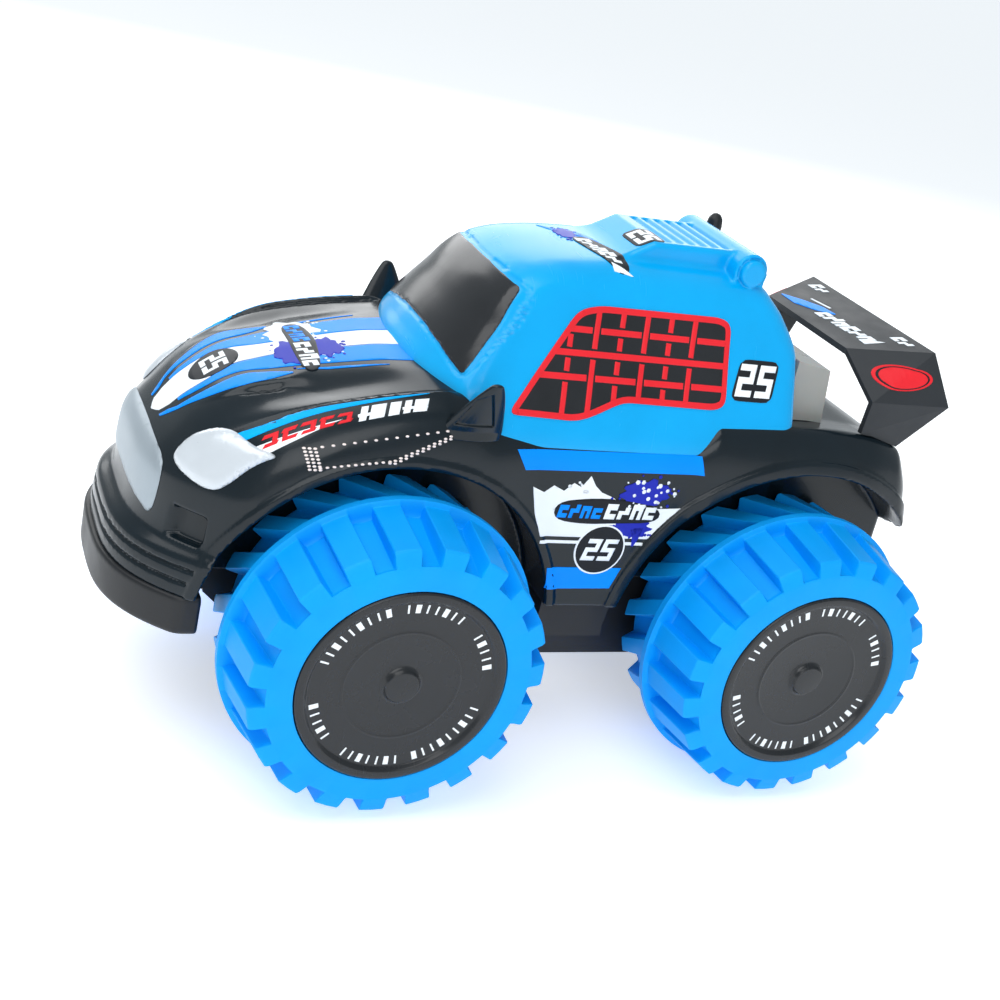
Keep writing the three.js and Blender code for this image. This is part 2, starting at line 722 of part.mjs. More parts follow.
function gearTrain(side, label) {
  const mirror = side < 0;
  const place = (name, solid, makeMaterial) =>
    add(`${name}_${label}`, mirror ? mirrorX(solid) : solid, makeMaterial);
  const row = ["front_axle_gear", "front_idler_gear", "centre_gear", "rear_idler_gear", "rear_axle_gear"];
  const halfPitch = Math.PI / GEAR_TEETH;
  row.forEach((name, i) => {
    const onAxle = i === 0 || i === 4;
    const options = {
      teeth: GEAR_TEETH,
      module: GEAR_MODULE,
      span: GEAR_X,
      y: FRONT_Y + 2 * GEAR_PITCH_R * i,
      z: AXLE_Z,
      phase: i % 2 ? halfPitch : 0,
      bore: onAxle ? AXLE_R + GAP : 2.3,
    };
    place(name, gear(options), MATERIALS.gearWhite);
  });
  const reducer = reducerPlace(side);
  const motor = motorPlace(side);
  const centrePhase = 0;
  const lineUp = Math.atan2(reducer.z - AXLE_Z, reducer.y - MID_Y);
  const smallPhase = meshPhase(GEAR_TEETH, centrePhase, SMALL_TEETH, lineUp);
  const small = gear({
    teeth: SMALL_TEETH,
    module: GEAR_MODULE,
    span: GEAR_X,
    y: reducer.y,
    z: reducer.z,
    phase: smallPhase,
    bore: 1.8,
    hubR: 3.4,
    hubSpan: [REDUCER_X[1] - 1, GEAR_X[0] + 1],
  });
  const large = gear({
    teeth: REDUCER_TEETH,
    module: MOTOR_MODULE,
    span: REDUCER_X,
    y: reducer.y,
    z: reducer.z,
    phase: 0,
    bore: 1.8,
  });
  place("reducer_gear", union(small, large), MATERIALS.gearWhite);
  const lineDown = Math.atan2(motor.z - reducer.z, motor.y - reducer.y);
  const pinion = gear({
    teeth: PINION_TEETH,
    module: MOTOR_MODULE,
    span: [11.6, 16.4],
    y: motor.y,
    z: motor.z,
    phase: meshPhase(REDUCER_TEETH, 0, PINION_TEETH, lineDown),
    bore: 1.3,
  });
  place("motor_pinion", pinion, MATERIALS.steel);
  const body = union(rodX(10, [-13.5, 9.5], motor.y, motor.z, 20), rodX(3, [9, 11], motor.y, motor.z, 12));
  const flats = box([-20, 20], [motor.y - 12, motor.y + 12], [motor.z - 7.7, motor.z + 7.7]);
  place("motor", union(body.intersect(flats), rodX(1, [10, 16], motor.y, motor.z, 8)), MATERIALS.steel);
  place("gear_plate", gearPlate(reducer), MATERIALS.blackPlastic);
}

// Inner bearing plate of one gear row, with the pins that the loose gears turn on.
function gearPlate(reducer) {
  const span = [16.8, 18.6];
  const outline = [
    [FRONT_Y - 9, AXLE_Z - 9],
    [REAR_Y + 9, AXLE_Z - 9],
    [REAR_Y + 9, AXLE_Z + 9],
    [reducer.y + 12, reducer.z + 9],
    [reducer.y - 12, reducer.z + 9],
    [FRONT_Y - 9, AXLE_Z + 9],
  ];
  let solid = prismX(outline, span);
  for (const y of [FRONT_Y, REAR_Y]) {
    solid = solid.subtract(rodX(AXLE_R + GAP, [16, 20], y, AXLE_Z, 12));
  }
  solid = solid.subtract(rodX(4, [16, 20], reducer.y, reducer.z, 12));
  for (const i of [1, 2, 3]) {
    solid = solid.add(rodX(2, [span[1] - 0.5, GEAR_X[1] + 0.3], FRONT_Y + 2 * GEAR_PITCH_R * i, AXLE_Z, 10));
  }
  return solid;
}

function mirrorX(solid) {
  const geometry = toGeometry(solid).applyMatrix4(new THREE.Matrix4().makeScale(-1, 1, 1));
  return flip(geometry);
}

// ---------- small pieces ----------
function doorMirror(side) {
  const rings = [
    { p: [49, -43, 126.5], along: 9.5, thick: 2.6 },
    { p: [52.5, -43.5, 132], along: 8, thick: 2.2 },
    { p: [55.5, -42.5, 137.5], along: 5, thick: 1.8 },
    { p: [58, -41.5, 143.4], along: 1.4, thick: 0.7 },
  ].map(({ p: [x, y, z], along, thick }) => [
    [side * (x - thick), y, z],
    [side * x, y - along, z - 0.4 * along],
    [side * (x + thick), y, z],
    [side * x, y + along, z],
  ]);
  return loft(rings).subtract(bodySolid(-GAP, BODY_BOTTOM)).subtract(cabinSolid(-GAP));
}

const ANTENNA = { x: -21, y: 65.5 };

function antenna() {
  const points = [
    [0, 168],
    [3, 168],
    [3, 181.5],
    [2.6, 184],
    [1.4, 185.6],
    [0, 186],
  ].map(([r, z]) => new THREE.Vector2(r, z));
  const geometry = new THREE.LatheGeometry(points, 14);
  const upright = orient(toSolid(geometry.rotateX(Math.PI / 2)), geometry);
  return upright.translate([ANTENNA.x, ANTENNA.y, 0]);
}

function rearLens() {
  return hull([
    [-33, 80.4, 151.5],
    [33, 80.4, 151.5],
    [-33, 94.5, 149],
    [33, 94.5, 149],
    [-34, 80.4, 129.6],
    [34, 80.4, 129.6],
    [-34, 97, 129.6],
    [34, 97, 129.6],
  ]).subtract(bodySolid(-GAP, BODY_BOTTOM));
}

function circuitBoard() {
  const board = box([-15, 15], [-96, -36], [70, 71.6]);
  const chips = [
    box([-6, 6], [-80, -68], [71, 74]),
    box([-12, -4], [-60, -50], [71, 79]),
    box([4, 12], [-58, -42], [71, 76]),
    box([-13, 13], [-94, -88], [71, 78]),
  ];
  return union(board, ...chips);
}

function batteryDoor() {
  const plateSolid = box(
    [-DOOR.x + GAP, DOOR.x - GAP],
    [DOOR.y[0] + GAP, DOOR.y[1] - GAP],
    [TUB_BOTTOM, TUB_BOTTOM + DOOR.thick]
  );
  const holes = DOOR_SCREW_Y.map((y) => rodZ(1.9, [TUB_BOTTOM - 1, TUB_BOTTOM + 4], 0, y, 10));
  const sinks = DOOR_SCREW_Y.map((y) => rodZ(3.4, [TUB_BOTTOM - 1, TUB_BOTTOM + 1], 0, y, 10));
  return cut(plateSolid, ...holes, ...sinks);
}

function doorScrew(y) {
  return union(
    rodZ(3, [TUB_BOTTOM - 0.3, TUB_BOTTOM + 0.8], 0, y, 10),
    rodZ(1.4, [TUB_BOTTOM + 0.5, TUB_BOTTOM + 9], 0, y, 8),
  );
}

function powerSwitch() {
  const knob = box([-SWITCH.x, SWITCH.x], SWITCH.y, [TUB_BOTTOM - 1.2, TUB_BOTTOM + WALL + 1]);
  const foot = box(
    [-SWITCH.x - 2.5, SWITCH.x + 2.5],
    [SWITCH.y[0] - 2, SWITCH.y[1] + 2],
    [TUB_BOTTOM + WALL + GAP, TUB_BOTTOM + 6]
  );
  return union(knob, foot);
}

// ---------- assembly ----------
add("lower_hull", lowerHull(), MATERIALS.blackPlastic);
add("hull_lid", hullLid(), MATERIALS.blackPlastic);
add("upper_body", upperBody(), MATERIALS.blackGloss);
add("cabin_shell", cabinShell(), MATERIALS.cyanGloss);
add("windscreen", cabinPanel(prismY(windscreenOutline(0), [-60, -5]), 0.3, 1.2), MATERIALS.windowBlack);
for (const [label, span] of [["left", [10, 60]], ["right", [-60, -10]]]) {
  const pane = cabinPanel(prismX(sideWindowOutline(0), span), 0.3, 1.2);
  add(`side_window_${label}`, pane, MATERIALS.windowBlack);
}
add("headlight_left", frontInsert(headlightRegion(1, 0), 0.6), MATERIALS.silver);
add("headlight_right", frontInsert(headlightRegion(-1, 0), 0.6), MATERIALS.silver);
add("grille", frontInsert(grilleRegion(0), 0.4), MATERIALS.greySilver);
add("mirror_left", doorMirror(1), MATERIALS.blackGloss);
add("mirror_right", doorMirror(-1), MATERIALS.blackGloss);
add("spoiler", spoiler(), MATERIALS.blackGloss);
add("antenna", antenna(), MATERIALS.blackPlastic);
add("rear_lens", rearLens(), MATERIALS.greyLens);
add("circuit_board", circuitBoard(), MATERIALS.circuitGreen);
const packSolid = box(
  [-BAY.x + 1, BAY.x - 1],
  [BAY.y[0] + 1, BAY.y[1] - 1],
  [TUB_BOTTOM + 4, BAY.top - 1]
);
add("battery_pack", packSolid, MATERIALS.batteryBlue);
add("battery_door", batteryDoor(), MATERIALS.blackPlastic);
add("battery_door_screw_front", doorScrew(DOOR_SCREW_Y[0]), MATERIALS.steel);
add("battery_door_screw_rear", doorScrew(DOOR_SCREW_Y[1]), MATERIALS.steel);
add("power_switch", powerSwitch(), MATERIALS.blackPlastic);

gearTrain(1, "left");
gearTrain(-1, "right");

const WHEEL_PIECES = [
  ["tyre", tyre, MATERIALS.azureRubber],
  ["rim", rim, MATERIALS.blackPlastic],
  ["hubcap", hubcap, MATERIALS.blackGloss],
  ["axle", axle, MATERIALS.steel],
  ["bushing", bushing, MATERIALS.gearWhite],
];
for (const [end, y] of [
  ["front", FRONT_Y],
  ["rear", REAR_Y],
]) {
  for (const [piece, make, makeMaterial] of WHEEL_PIECES) {
    const solid = make(y);
    add(`${piece}_${end}_left`, solid, makeMaterial);
    add(`${piece}_${end}_right`, mirrorX(solid), makeMaterial);
  }
}

export default car;
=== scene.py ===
import math
import random

import bmesh
import bpy
import numpy as np
import openvdb
from mathutils import Matrix, Vector
from mathutils.bvhtree import BVHTree


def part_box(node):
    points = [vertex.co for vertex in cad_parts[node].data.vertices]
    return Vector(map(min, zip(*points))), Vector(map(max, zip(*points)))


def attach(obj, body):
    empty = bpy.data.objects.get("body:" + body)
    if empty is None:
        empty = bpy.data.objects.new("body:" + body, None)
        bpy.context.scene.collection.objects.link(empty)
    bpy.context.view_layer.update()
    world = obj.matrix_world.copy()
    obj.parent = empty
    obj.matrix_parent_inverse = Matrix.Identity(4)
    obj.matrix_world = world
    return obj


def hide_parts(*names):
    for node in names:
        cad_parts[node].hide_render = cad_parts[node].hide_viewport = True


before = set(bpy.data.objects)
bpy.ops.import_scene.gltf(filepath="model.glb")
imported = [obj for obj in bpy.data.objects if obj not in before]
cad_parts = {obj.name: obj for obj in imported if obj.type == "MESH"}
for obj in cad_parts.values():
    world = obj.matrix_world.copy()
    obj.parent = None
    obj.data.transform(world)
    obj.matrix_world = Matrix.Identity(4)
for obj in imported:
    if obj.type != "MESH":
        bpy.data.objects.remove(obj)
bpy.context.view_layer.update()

# Lengths below are millimetres in the car's own frame (nose at -Y, left side +X, ground at Z 0)
# until a mesh is made, when they are scaled to metres.
MM = 0.001


def box_mm(name):
    low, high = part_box(name)
    return np.array(low) / MM, np.array(high) / MM


TYRE_LOW, TYRE_HIGH = box_mm("tyre_front_left")
WHEEL_R = (TYRE_HIGH[2] - TYRE_LOW[2]) / 2
AXLE_Z = WHEEL_R
FACE_X = box_mm("hubcap_front_left")[1][0]
FRONT_Y, REAR_Y = (sum(box_mm(f"tyre_{end}_left"))[1] / 2 for end in ("front", "rear"))
FRONT_ARCH_R = 60
REAR_ARCH_R = 65
ARCH_INNER_X = 29.2
BODY_BOTTOM = box_mm("upper_body")[0][2]
SIDES = (("left", 1), ("right", -1))


# ---- camera, floor and light
def make_camera():
    data = bpy.data.cameras.new("camera")
    data.sensor_width = 36
    data.lens = 51.85
    data.clip_start = 0.01
    camera = bpy.data.objects.new("camera", data)
    bpy.context.scene.collection.objects.link(camera)
    azimuth, elevation, roll = (math.radians(a) for a in (62.897, 23.873, 14.189))
    run = math.cos(elevation)
    forward = Vector((-math.sin(azimuth) * run, math.cos(azimuth) * run, -math.sin(elevation)))
    level = forward.cross(Vector((0, 0, 1))).normalized()
    rise = level.cross(forward)
    right = math.cos(roll) * level + math.sin(roll) * rise
    up = math.cos(roll) * rise - math.sin(roll) * level
    turn = Matrix((right, up, -forward)).transposed().to_4x4()
    camera.matrix_world = Matrix.Translation((0.4238, -0.2193, 0.2873)) @ turn
    bpy.context.scene.camera = camera


def area_light(name, place, target, size, power):
    data = bpy.data.lights.new(name, "AREA")
    data.shape = "RECTANGLE"
    data.size, data.size_y = size
    data.energy = power
    light = bpy.data.objects.new(name, data)
    light.location = place
    light.rotation_mode = "QUATERNION"
    light.rotation_quaternion = (Vector(target) - Vector(place)).to_track_quat("-Z", "Y")
    bpy.context.scene.collection.objects.link(light)


def node(tree, kind, inputs=None, **settings):
    made = tree.nodes.new(kind)
    for key, value in settings.items():
        setattr(made, key, value)
    for key, value in (inputs or {}).items():
        if isinstance(value, bpy.types.NodeSocket):
            tree.links.new(value, made.inputs[key])
        else:
            made.inputs[key].default_value = value
    return made


def make_studio():
    scene = bpy.context.scene
    scene.view_settings.view_transform = "Standard"
    world = bpy.data.worlds.new("studio")
    scene.world = world
    world.use_nodes = True
    tree = world.node_tree
    tree.nodes.clear()
    direction = node(tree, "ShaderNodeTexCoord").outputs["Generated"]
    height = node(tree, "ShaderNodeSeparateXYZ", {"Vector": direction}).outputs["Z"]
    rise = node(tree, "ShaderNodeMapRange", {"Value": height, "From Min": -0.1, "From Max": 0.7})
    tint = node(tree, "ShaderNodeValToRGB", {"Fac": rise.outputs["Result"]})
    tint.color_ramp.elements[0].color = (0.88, 0.96, 1.0, 1)
    tint.color_ramp.elements[1].color = (0.68, 0.76, 0.82, 1)
    shade = node(tree, "ShaderNodeBackground", {"Color": tint.outputs["Color"], "Strength": 0.62})
    out = node(tree, "ShaderNodeOutputWorld")
    tree.links.new(shade.outputs["Background"], out.inputs["Surface"])

    area_light("key_softbox", (0.1, -0.35, 0.95), (0, 0, 0.1), (1.0, 0.8), 6.0)
    area_light("side_softbox", (0.95, -0.25, 0.55), (0, 0, 0.08), (0.7, 0.5), 3.0)
    area_light("sheen_softbox", (-1.1, 0.15, 0.62), (0, -0.05, 0.12), (1.5, 0.7), 8.0)

    mesh = bpy.data.meshes.new("floor")
    half = 20
    corners = [(half * x, half * y, 0) for x, y in ((-1, -1), (1, -1), (1, 1), (-1, 1))]
    mesh.from_pydata(corners, [], [(0, 1, 2, 3)])
    floor = bpy.data.objects.new("floor", mesh)
    scene.collection.objects.link(floor)
    material = bpy.data.materials.new("floor_paper")
    material.use_nodes = True
    shader = material.node_tree.nodes["Principled BSDF"]
    shader.inputs["Base Color"].default_value = (0.93, 0.94, 0.95, 1)
    shader.inputs["Roughness"].default_value = 0.9
    shader.inputs["Emission Color"].default_value = (1, 1, 1, 1)
    shader.inputs["Emission Strength"].default_value = 0.45
    mesh.materials.append(material)


# ---- materials
def spread(tree, value, low, high, to_low, to_high):
    """Maps one range of values onto another."""
    inputs = {"Value": value, "From Min": low, "From Max": high, "To Min": to_low, "To Max": to_high}
    return node(tree, "ShaderNodeMapRange", inputs).outputs["Result"]


def noise(tree, place, scale, detail, roughness=0.5):
    inputs = {"Vector": place, "Scale": scale, "Detail": detail, "Roughness": roughness}
    return node(tree, "ShaderNodeTexNoise", inputs).outputs["Fac"]


HAZE = 0.15


def plastic(
    name, colour, roughness=0.3, coat=0.0, mottle=0.06, grain=0.02, grain_mm=0.8, scratch=0.03, wear=0.0,
    metallic=0.0, specular=0.35, subsurface=0.0, transmission=0.0, tone_mm=22,
):
    """Moulded or painted plastic: a slightly uneven tone, fine orange-peel bump, hairline scratches in
    the gloss and paler rubbed edges."""
    material = bpy.data.materials.new(name)
    material.use_nodes = True
    tree = material.node_tree
    tree.nodes.clear()
    place = node(tree, "ShaderNodeTexCoord").outputs["Object"]
    level = spread(tree, noise(tree, place, 1000 / tone_mm, 3, 0.55), 0.3, 0.7, 1 - mottle, 1 + mottle)
    tinted = node(tree, "ShaderNodeVectorMath", {0: tuple(colour), "Scale": level}, operation="SCALE")
    pointed = node(tree, "ShaderNodeNewGeometry").outputs["Pointiness"]
    pale = tuple(min(1, 0.25 + c * 1.1) for c in colour) + (1,)
    layers = {"Factor": spread(tree, pointed, 0.52, 0.6, 0.0, wear), 6: tinted.outputs["Vector"], 7: pale}
    rubbed = node(tree, "ShaderNodeMix", layers, data_type="RGBA")
    lay = {"Vector": place, "Rotation": (0.4, 0.9, 0.6), "Scale": (40, 900, 60)}
    stretch = node(tree, "ShaderNodeMapping", lay).outputs["Vector"]
    hair = spread(tree, noise(tree, stretch, 1.0, 2), 0.62, 0.72, 0.0, scratch)
    uneven = roughness * (1 - HAZE), roughness * (1 + HAZE)
    haze = spread(tree, noise(tree, place, 90, 5), 0.25, 0.75, *uneven)
    rough = node(tree, "ShaderNodeMath", {0: haze, 1: hair}, operation="ADD")
    peel = noise(tree, place, 1000 / grain_mm, 2)
    bump = node(tree, "ShaderNodeBump", {"Height": peel, "Strength": grain, "Distance": 0.0004})
    looks = {
        "Base Color": rubbed.outputs[2],
        "Roughness": rough.outputs["Value"],
        "Normal": bump.outputs["Normal"],
        "Metallic": metallic,
        "Specular IOR Level": specular,
        "Coat Weight": coat,
        "Coat Roughness": 0.06,
        "Subsurface Weight": subsurface,
        "Subsurface Scale": 0.002,
        "Transmission Weight": transmission,
    }
    shader = node(tree, "ShaderNodeBsdfPrincipled", looks)
    node(tree, "ShaderNodeOutputMaterial", {"Surface": shader.outputs["BSDF"]})
    return material


BODY_BLACK = plastic("gloss_black_shell", (0.0035, 0.009, 0.0135), 0.22, coat=0.1, specular=0.3, mottle=0.15)
HULL_BLACK = plastic("satin_black_hull", (0.010, 0.011, 0.013), 0.42, grain=0.06)
ARCH_BLACK = plastic("satin_black_trim", (0.010, 0.011, 0.013), 0.36, grain=0.05)
SPOILER_BLACK = plastic("matt_black_wing", (0.022, 0.025, 0.029), 0.5, grain=0.08, grain_mm=0.5)
CABIN_CYAN = plastic("cyan_shell", (0.0, 0.37, 0.78), 0.24, coat=0.06, specular=0.28, mottle=0.04)
AZURE = (0.0, 0.335, 0.88)
TYRE_AZURE = plastic("azure_rubber", AZURE, 0.46, mottle=0.05, grain=0.05, wear=0.03, specular=0.14)
WINDOW_BLACK = plastic("smoked_window", (0.010, 0.011, 0.013), 0.2, mottle=0.25, specular=0.5)
LAMP_SILVER = plastic("pearl_silver", (0.62, 0.66, 0.70), 0.3, coat=0.5, metallic=0.2)
GRILLE_SILVER = plastic("satin_silver", (0.34, 0.39, 0.43), 0.4, metallic=0.3)
LENS_SMOKE = plastic("smoke_lens", (0.36, 0.36, 0.34), 0.3, transmission=0.08, subsurface=0.25)
HUB_BLACK = plastic("hub_black", (0.012, 0.0135, 0.016), 0.26, coat=0.15)
RIM_BLACK = plastic("rim_black", (0.012, 0.013, 0.015), 0.45)
STEEL = plastic("bright_steel", (0.55, 0.56, 0.58), 0.3, metallic=1.0, scratch=0.15, mottle=0.1, wear=0.1)
NYLON = plastic("gear_nylon", (0.72, 0.70, 0.62), 0.45, subsurface=0.1, grain=0.04, wear=0.1)
CIRCUIT = plastic("circuit_green", (0.02, 0.16, 0.07), 0.35, mottle=0.3, tone_mm=3, wear=0.1)
BATTERY = plastic("battery_wrap", (0.05, 0.12, 0.35), 0.35, mottle=0.1, wear=0.1)
# Printed films, without the shells' gloss
STICKER = dict(roughness=0.32, specular=0.1, grain=0.03, grain_mm=1.6, mottle=0.04)
FILM_BLUE = plastic("film_blue", (0.0, 0.27, 1.0), **STICKER)
FILM_SKY = plastic("film_sky_blue", (0.0, 0.40, 0.92), **STICKER)
FILM_WHITE = plastic("film_white", (0.88, 0.92, 0.95), **STICKER)
FILM_RED = plastic("film_red", (0.76, 0.025, 0.035), **STICKER)
FILM_ROYAL = plastic("film_royal_blue", (0.02, 0.03, 0.42), **STICKER)
FILM_DARK = plastic("film_charcoal", (0.018, 0.02, 0.024), **STICKER)
FILM_ROSE = plastic("film_rose_white", (0.90, 0.78, 0.74), **STICKER)


# ---- shape helpers
def shown(name, mesh, material, body, slot=None, replaces=(), flat=False):
    """The object that shows a mesh and rides on a body."""
    mesh.polygons.foreach_set("use_smooth", [not flat] * len(mesh.polygons))
    mesh.materials.append(material)
    piece = bpy.data.objects.new(name, mesh)
    bpy.context.scene.collection.objects.link(piece)
    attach(piece, body)
    if replaces:
        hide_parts(*replaces)
    return piece


def add_piece(name, points, faces, *rest, **options):
    """A piece from points in millimetres; the rest is what shown takes."""
    mesh = bpy.data.meshes.new(name)
    mesh.from_pydata((np.asarray(points) * MM).tolist(), [], [tuple(int(i) for i in f) for f in faces])
    mesh.update()
    return shown(name, mesh, *rest, **options)


def soft_edges(piece, width_mm):
    bevel = piece.modifiers.new("soft_edges", "BEVEL")
    bevel.width = width_mm * MM
    bevel.segments = 2
    bevel.limit_method = "ANGLE"
    bevel.angle_limit = math.radians(25)
    bevel.harden_normals = True


def smooth_max(a, b, k):
    h = np.clip(0.5 + 0.5 * (a - b) / k, 0, 1)
    return b + (a - b) * h + k * h * (1 - h)


def smooth_min(a, b, k):
    return -smooth_max(-a, -b, k)


def ramp(value, start, end):
    """0 before start, 1 after end, smooth between."""
    t = np.clip((value - start) / (end - start), 0, 1)
    return t * t * (3 - 2 * t)


def monotone(xs, ys, x):
    """Smooth curve through the points that never overshoots them."""
    xs, ys = np.asarray(xs, float), np.asarray(ys, float)
    h, slope = np.diff(xs), np.diff(ys) / np.diff(xs)
    m = np.zeros(len(xs))
    same = slope[1:] * slope[:-1] > 0
    w1, w2 = 2 * h[1:] + h[:-1], h[1:] + 2 * h[:-1]
    with np.errstate(divide="ignore", invalid="ignore"):
        inner = (w1 + w2) / (w1 / slope[:-1] + w2 / slope[1:])
    m[1:-1] = np.where(same, inner, 0)
    m[0], m[-1] = slope[0], slope[-1]
    x = np.clip(x, xs[0], xs[-1])
    i = np.clip(np.searchsorted(xs, x) - 1, 0, len(h) - 1)
    t = (x - xs[i]) / h[i]
    a, b = ys[i], ys[i + 1]
    return (
        a * (1 + 2 * t) * (1 - t) ** 2 + h[i] * m[i] * t * (1 - t) ** 2
        + b * t * t * (3 - 2 * t) + h[i] * m[i + 1] * t * t * (t - 1)
    )


def column(table, i, at):
    return monotone(table[:, 0], table[:, i], at)


def curve_at(table, y):
    """The smooth curve through (y, x) points."""
    return monotone(*zip(*table), y)


def rounded(points, rounds=2, share=0.25):
    """Cuts the corners of a closed outline, for points with any number of coordinates."""
    points = np.asarray(points, float)
    for _ in range(rounds):
        after = np.roll(points, -1, axis=0)
        cut = np.stack([points * (1 - share) + after * share, points * share + after * (1 - share)], 1)
        points = cut.reshape(-1, points.shape[1])
    return points


def filleted(points, radius, steps=4):
    """A closed outline whose corners are rounded over at most that length of each edge."""
    points = np.asarray(points, float)
    result = []
    for before, corner, after in zip(np.roll(points, 1, axis=0), points, np.roll(points, -1, axis=0)):
        arms = before - corner, after - corner
        start, end = (corner + arm * min(radius / np.linalg.norm(arm), 0.45) for arm in arms)
        for t in np.linspace(0, 1, steps + 1):
            result.append(start * (1 - t) ** 2 + corner * 2 * t * (1 - t) + end * t * t)
    return np.array(result)


def outline_distance(points, u, v):
    """Signed distance from (u, v) to a closed outline, negative inside."""
    u, v = np.broadcast_arrays(np.asarray(u, float), np.asarray(v, float))
    nearest = np.full(u.shape, 1e9)
    inside = np.zeros(u.shape, bool)
    for (u0, v0), (u1, v1) in zip(points, np.roll(points, -1, axis=0)):
        du, dv = u1 - u0, v1 - v0
        if du * du + dv * dv < 1e-12:
            continue
        t = np.clip(((u - u0) * du + (v - v0) * dv) / (du * du + dv * dv), 0, 1)
        nearest = np.minimum(nearest, (u - u0 - t * du) ** 2 + (v - v0 - t * dv) ** 2)
        if dv != 0:
            inside ^= ((v0 > v) != (v1 > v)) & (u < du * (v - v0) / dv + u0)
    return np.where(inside, -1, 1) * np.sqrt(nearest)


def skin(field, low, high, cell):
    """Points and quads of the surface where field(x, y, z) is zero; the field is negative inside."""
    axes = [np.arange(a, b + cell, cell) for a, b in zip(low, high)]
    x, y, z = np.meshgrid(*axes, indexing="ij", sparse=True)
    values = np.broadcast_to(field(x, y, z), [len(a) for a in axes])
    grid = openvdb.FloatGrid(3 * cell)
    grid.copyFromArray(np.ascontiguousarray(np.clip(values, -3 * cell, 3 * cell), dtype=np.float32))
    points, quads = grid.convertToQuads(0.0)[:2]
    points = np.asarray(points, float) * cell + np.asarray(low, float)
    step = 0.04
    for _ in range(2):
        value = field(*points.T)
        slope = np.empty_like(points)
        for i in range(3):
            shift = np.zeros(3)
            shift[i] = step
            slope[:, i] = (field(*(points + shift).T) - field(*(points - shift).T)) / (2 * step)
        move = slope * (value / np.maximum((slope**2).sum(1), 0.3))[:, None]
        length = np.linalg.norm(move, axis=1)[:, None]
        points = points - move * np.minimum(1, 0.4 * cell / np.maximum(length, 1e-9))
    quads = np.asarray(quads)
    a, b, c = (points[quads[:, i]] for i in range(3))
    volume = np.einsum("ij,ij->i", a, np.cross(b, c)).sum()
    return points, quads if volume > 0 else quads[:, ::-1]


def turned(profile, axle_y, side, segments=96):
    """A closed turned shape about an axle. profile: (radius, depth behind the wheel face)."""
    profile = [(r, FACE_X - depth) for r, depth in profile[::-1]]
    points, faces = [], []
    count = len(profile)
    for s in range(segments):
        a = 2 * math.pi * s / segments
        points += [(side * x, axle_y + r * math.cos(a), AXLE_Z + r * math.sin(a)) for r, x in profile]
    for s in range(segments):
        n = (s + 1) % segments
        for k in range(count):
            j = (k + 1) % count
            face = (s * count + k, s * count + j, n * count + j, n * count + k)
            faces.append(face if side > 0 else face[::-1])
    return points, faces


# ---- body shell
# [y, crown z, hood x, hood z, crest x, crest z, shoulder x, shoulder z, lip x, lip z]
BODY_SECTIONS = np.array([
    [-147, 97, 20, 96, 34, 89, 42, 82, 49, 72],
    [-138, 100, 20, 99, 34, 94, 43, 87, 50, 76],
    [-130, 106, 22, 105.5, 35, 102, 44, 94, 51, 84],
    [-122, 115, 20, 114.3, 38, 111.2, 46, 103.5, 52, 92],
    [-113, 120.8, 22, 120, 41, 117.2, 48, 110.5, 53, 100],
    [-100, 124.6, 23, 123.6, 42.5, 122.4, 49, 115.5, 53, 108],
    [-86, 128.2, 23, 127.4, 43.2, 126.8, 49, 120.5, 53, 113],
    [-61, 133.6, 24, 132.8, 43.5, 131.6, 50, 125.5, 53, 117],
    [-45, 135.7, 28, 135, 43, 133.2, 50, 127, 52.5, 118],
    [-33, 126, 28, 126, 44, 126, 49, 122.5, 51.5, 117],
    [-15, 122.5, 28, 122.5, 44, 122.5, 48.6, 121.5, 49.6, 117],
    [40, 122.5, 28, 122.5, 44, 122.5, 48.6, 121.5, 49.6, 118],
    [49, 128.5, 28, 128.5, 44, 131, 49, 127, 51, 120],
    [90, 129, 28, 129, 45, 131.5, 49.5, 126, 52, 120],
    [112, 128, 28, 128, 45, 130, 49.5, 124, 51.5, 118],
    [126, 125, 28, 125, 44, 126, 48.5, 120, 50, 113],
    [135, 119, 28, 119, 42, 118, 47, 112, 49, 105],
    [147, 108, 28, 108, 40, 107, 45, 101, 48, 95],
])
# [z, nose y, tail y] at the middle
BODY_ENDS = np.array([
    [50, -145, 145],
    [66, -144, 145],
    [74, -143, 144.5],
    [78, -138.5, 144],
    [96, -136.5, 143],
    [104, -132, 141],
    [112, -126, 139],
    [122, -115, 135],
    [140, -95, 128],
])
PLAN_HALF = 56
NOSE_SWEEP = 34
TAIL_SWEEP = 12
# (y, x) of two edges on the hood
PANEL_EDGE = [
    (-131, 8), (-124, 16), (-120, 19), (-112.6, 22.2), (-103, 23), (-96, 23.6), (-80, 26), (-60, 30),
]
BAND_EDGE = [(-118, 38.4), (-115, 39.2), (-107, 40.4), (-96, 41.3), (-82, 42), (-66, 41.9), (-46, 41.6)]
GRID_X = np.arange(0, 66, 0.5)
GRID_Y = np.arange(-152, 152.5, 1.0)


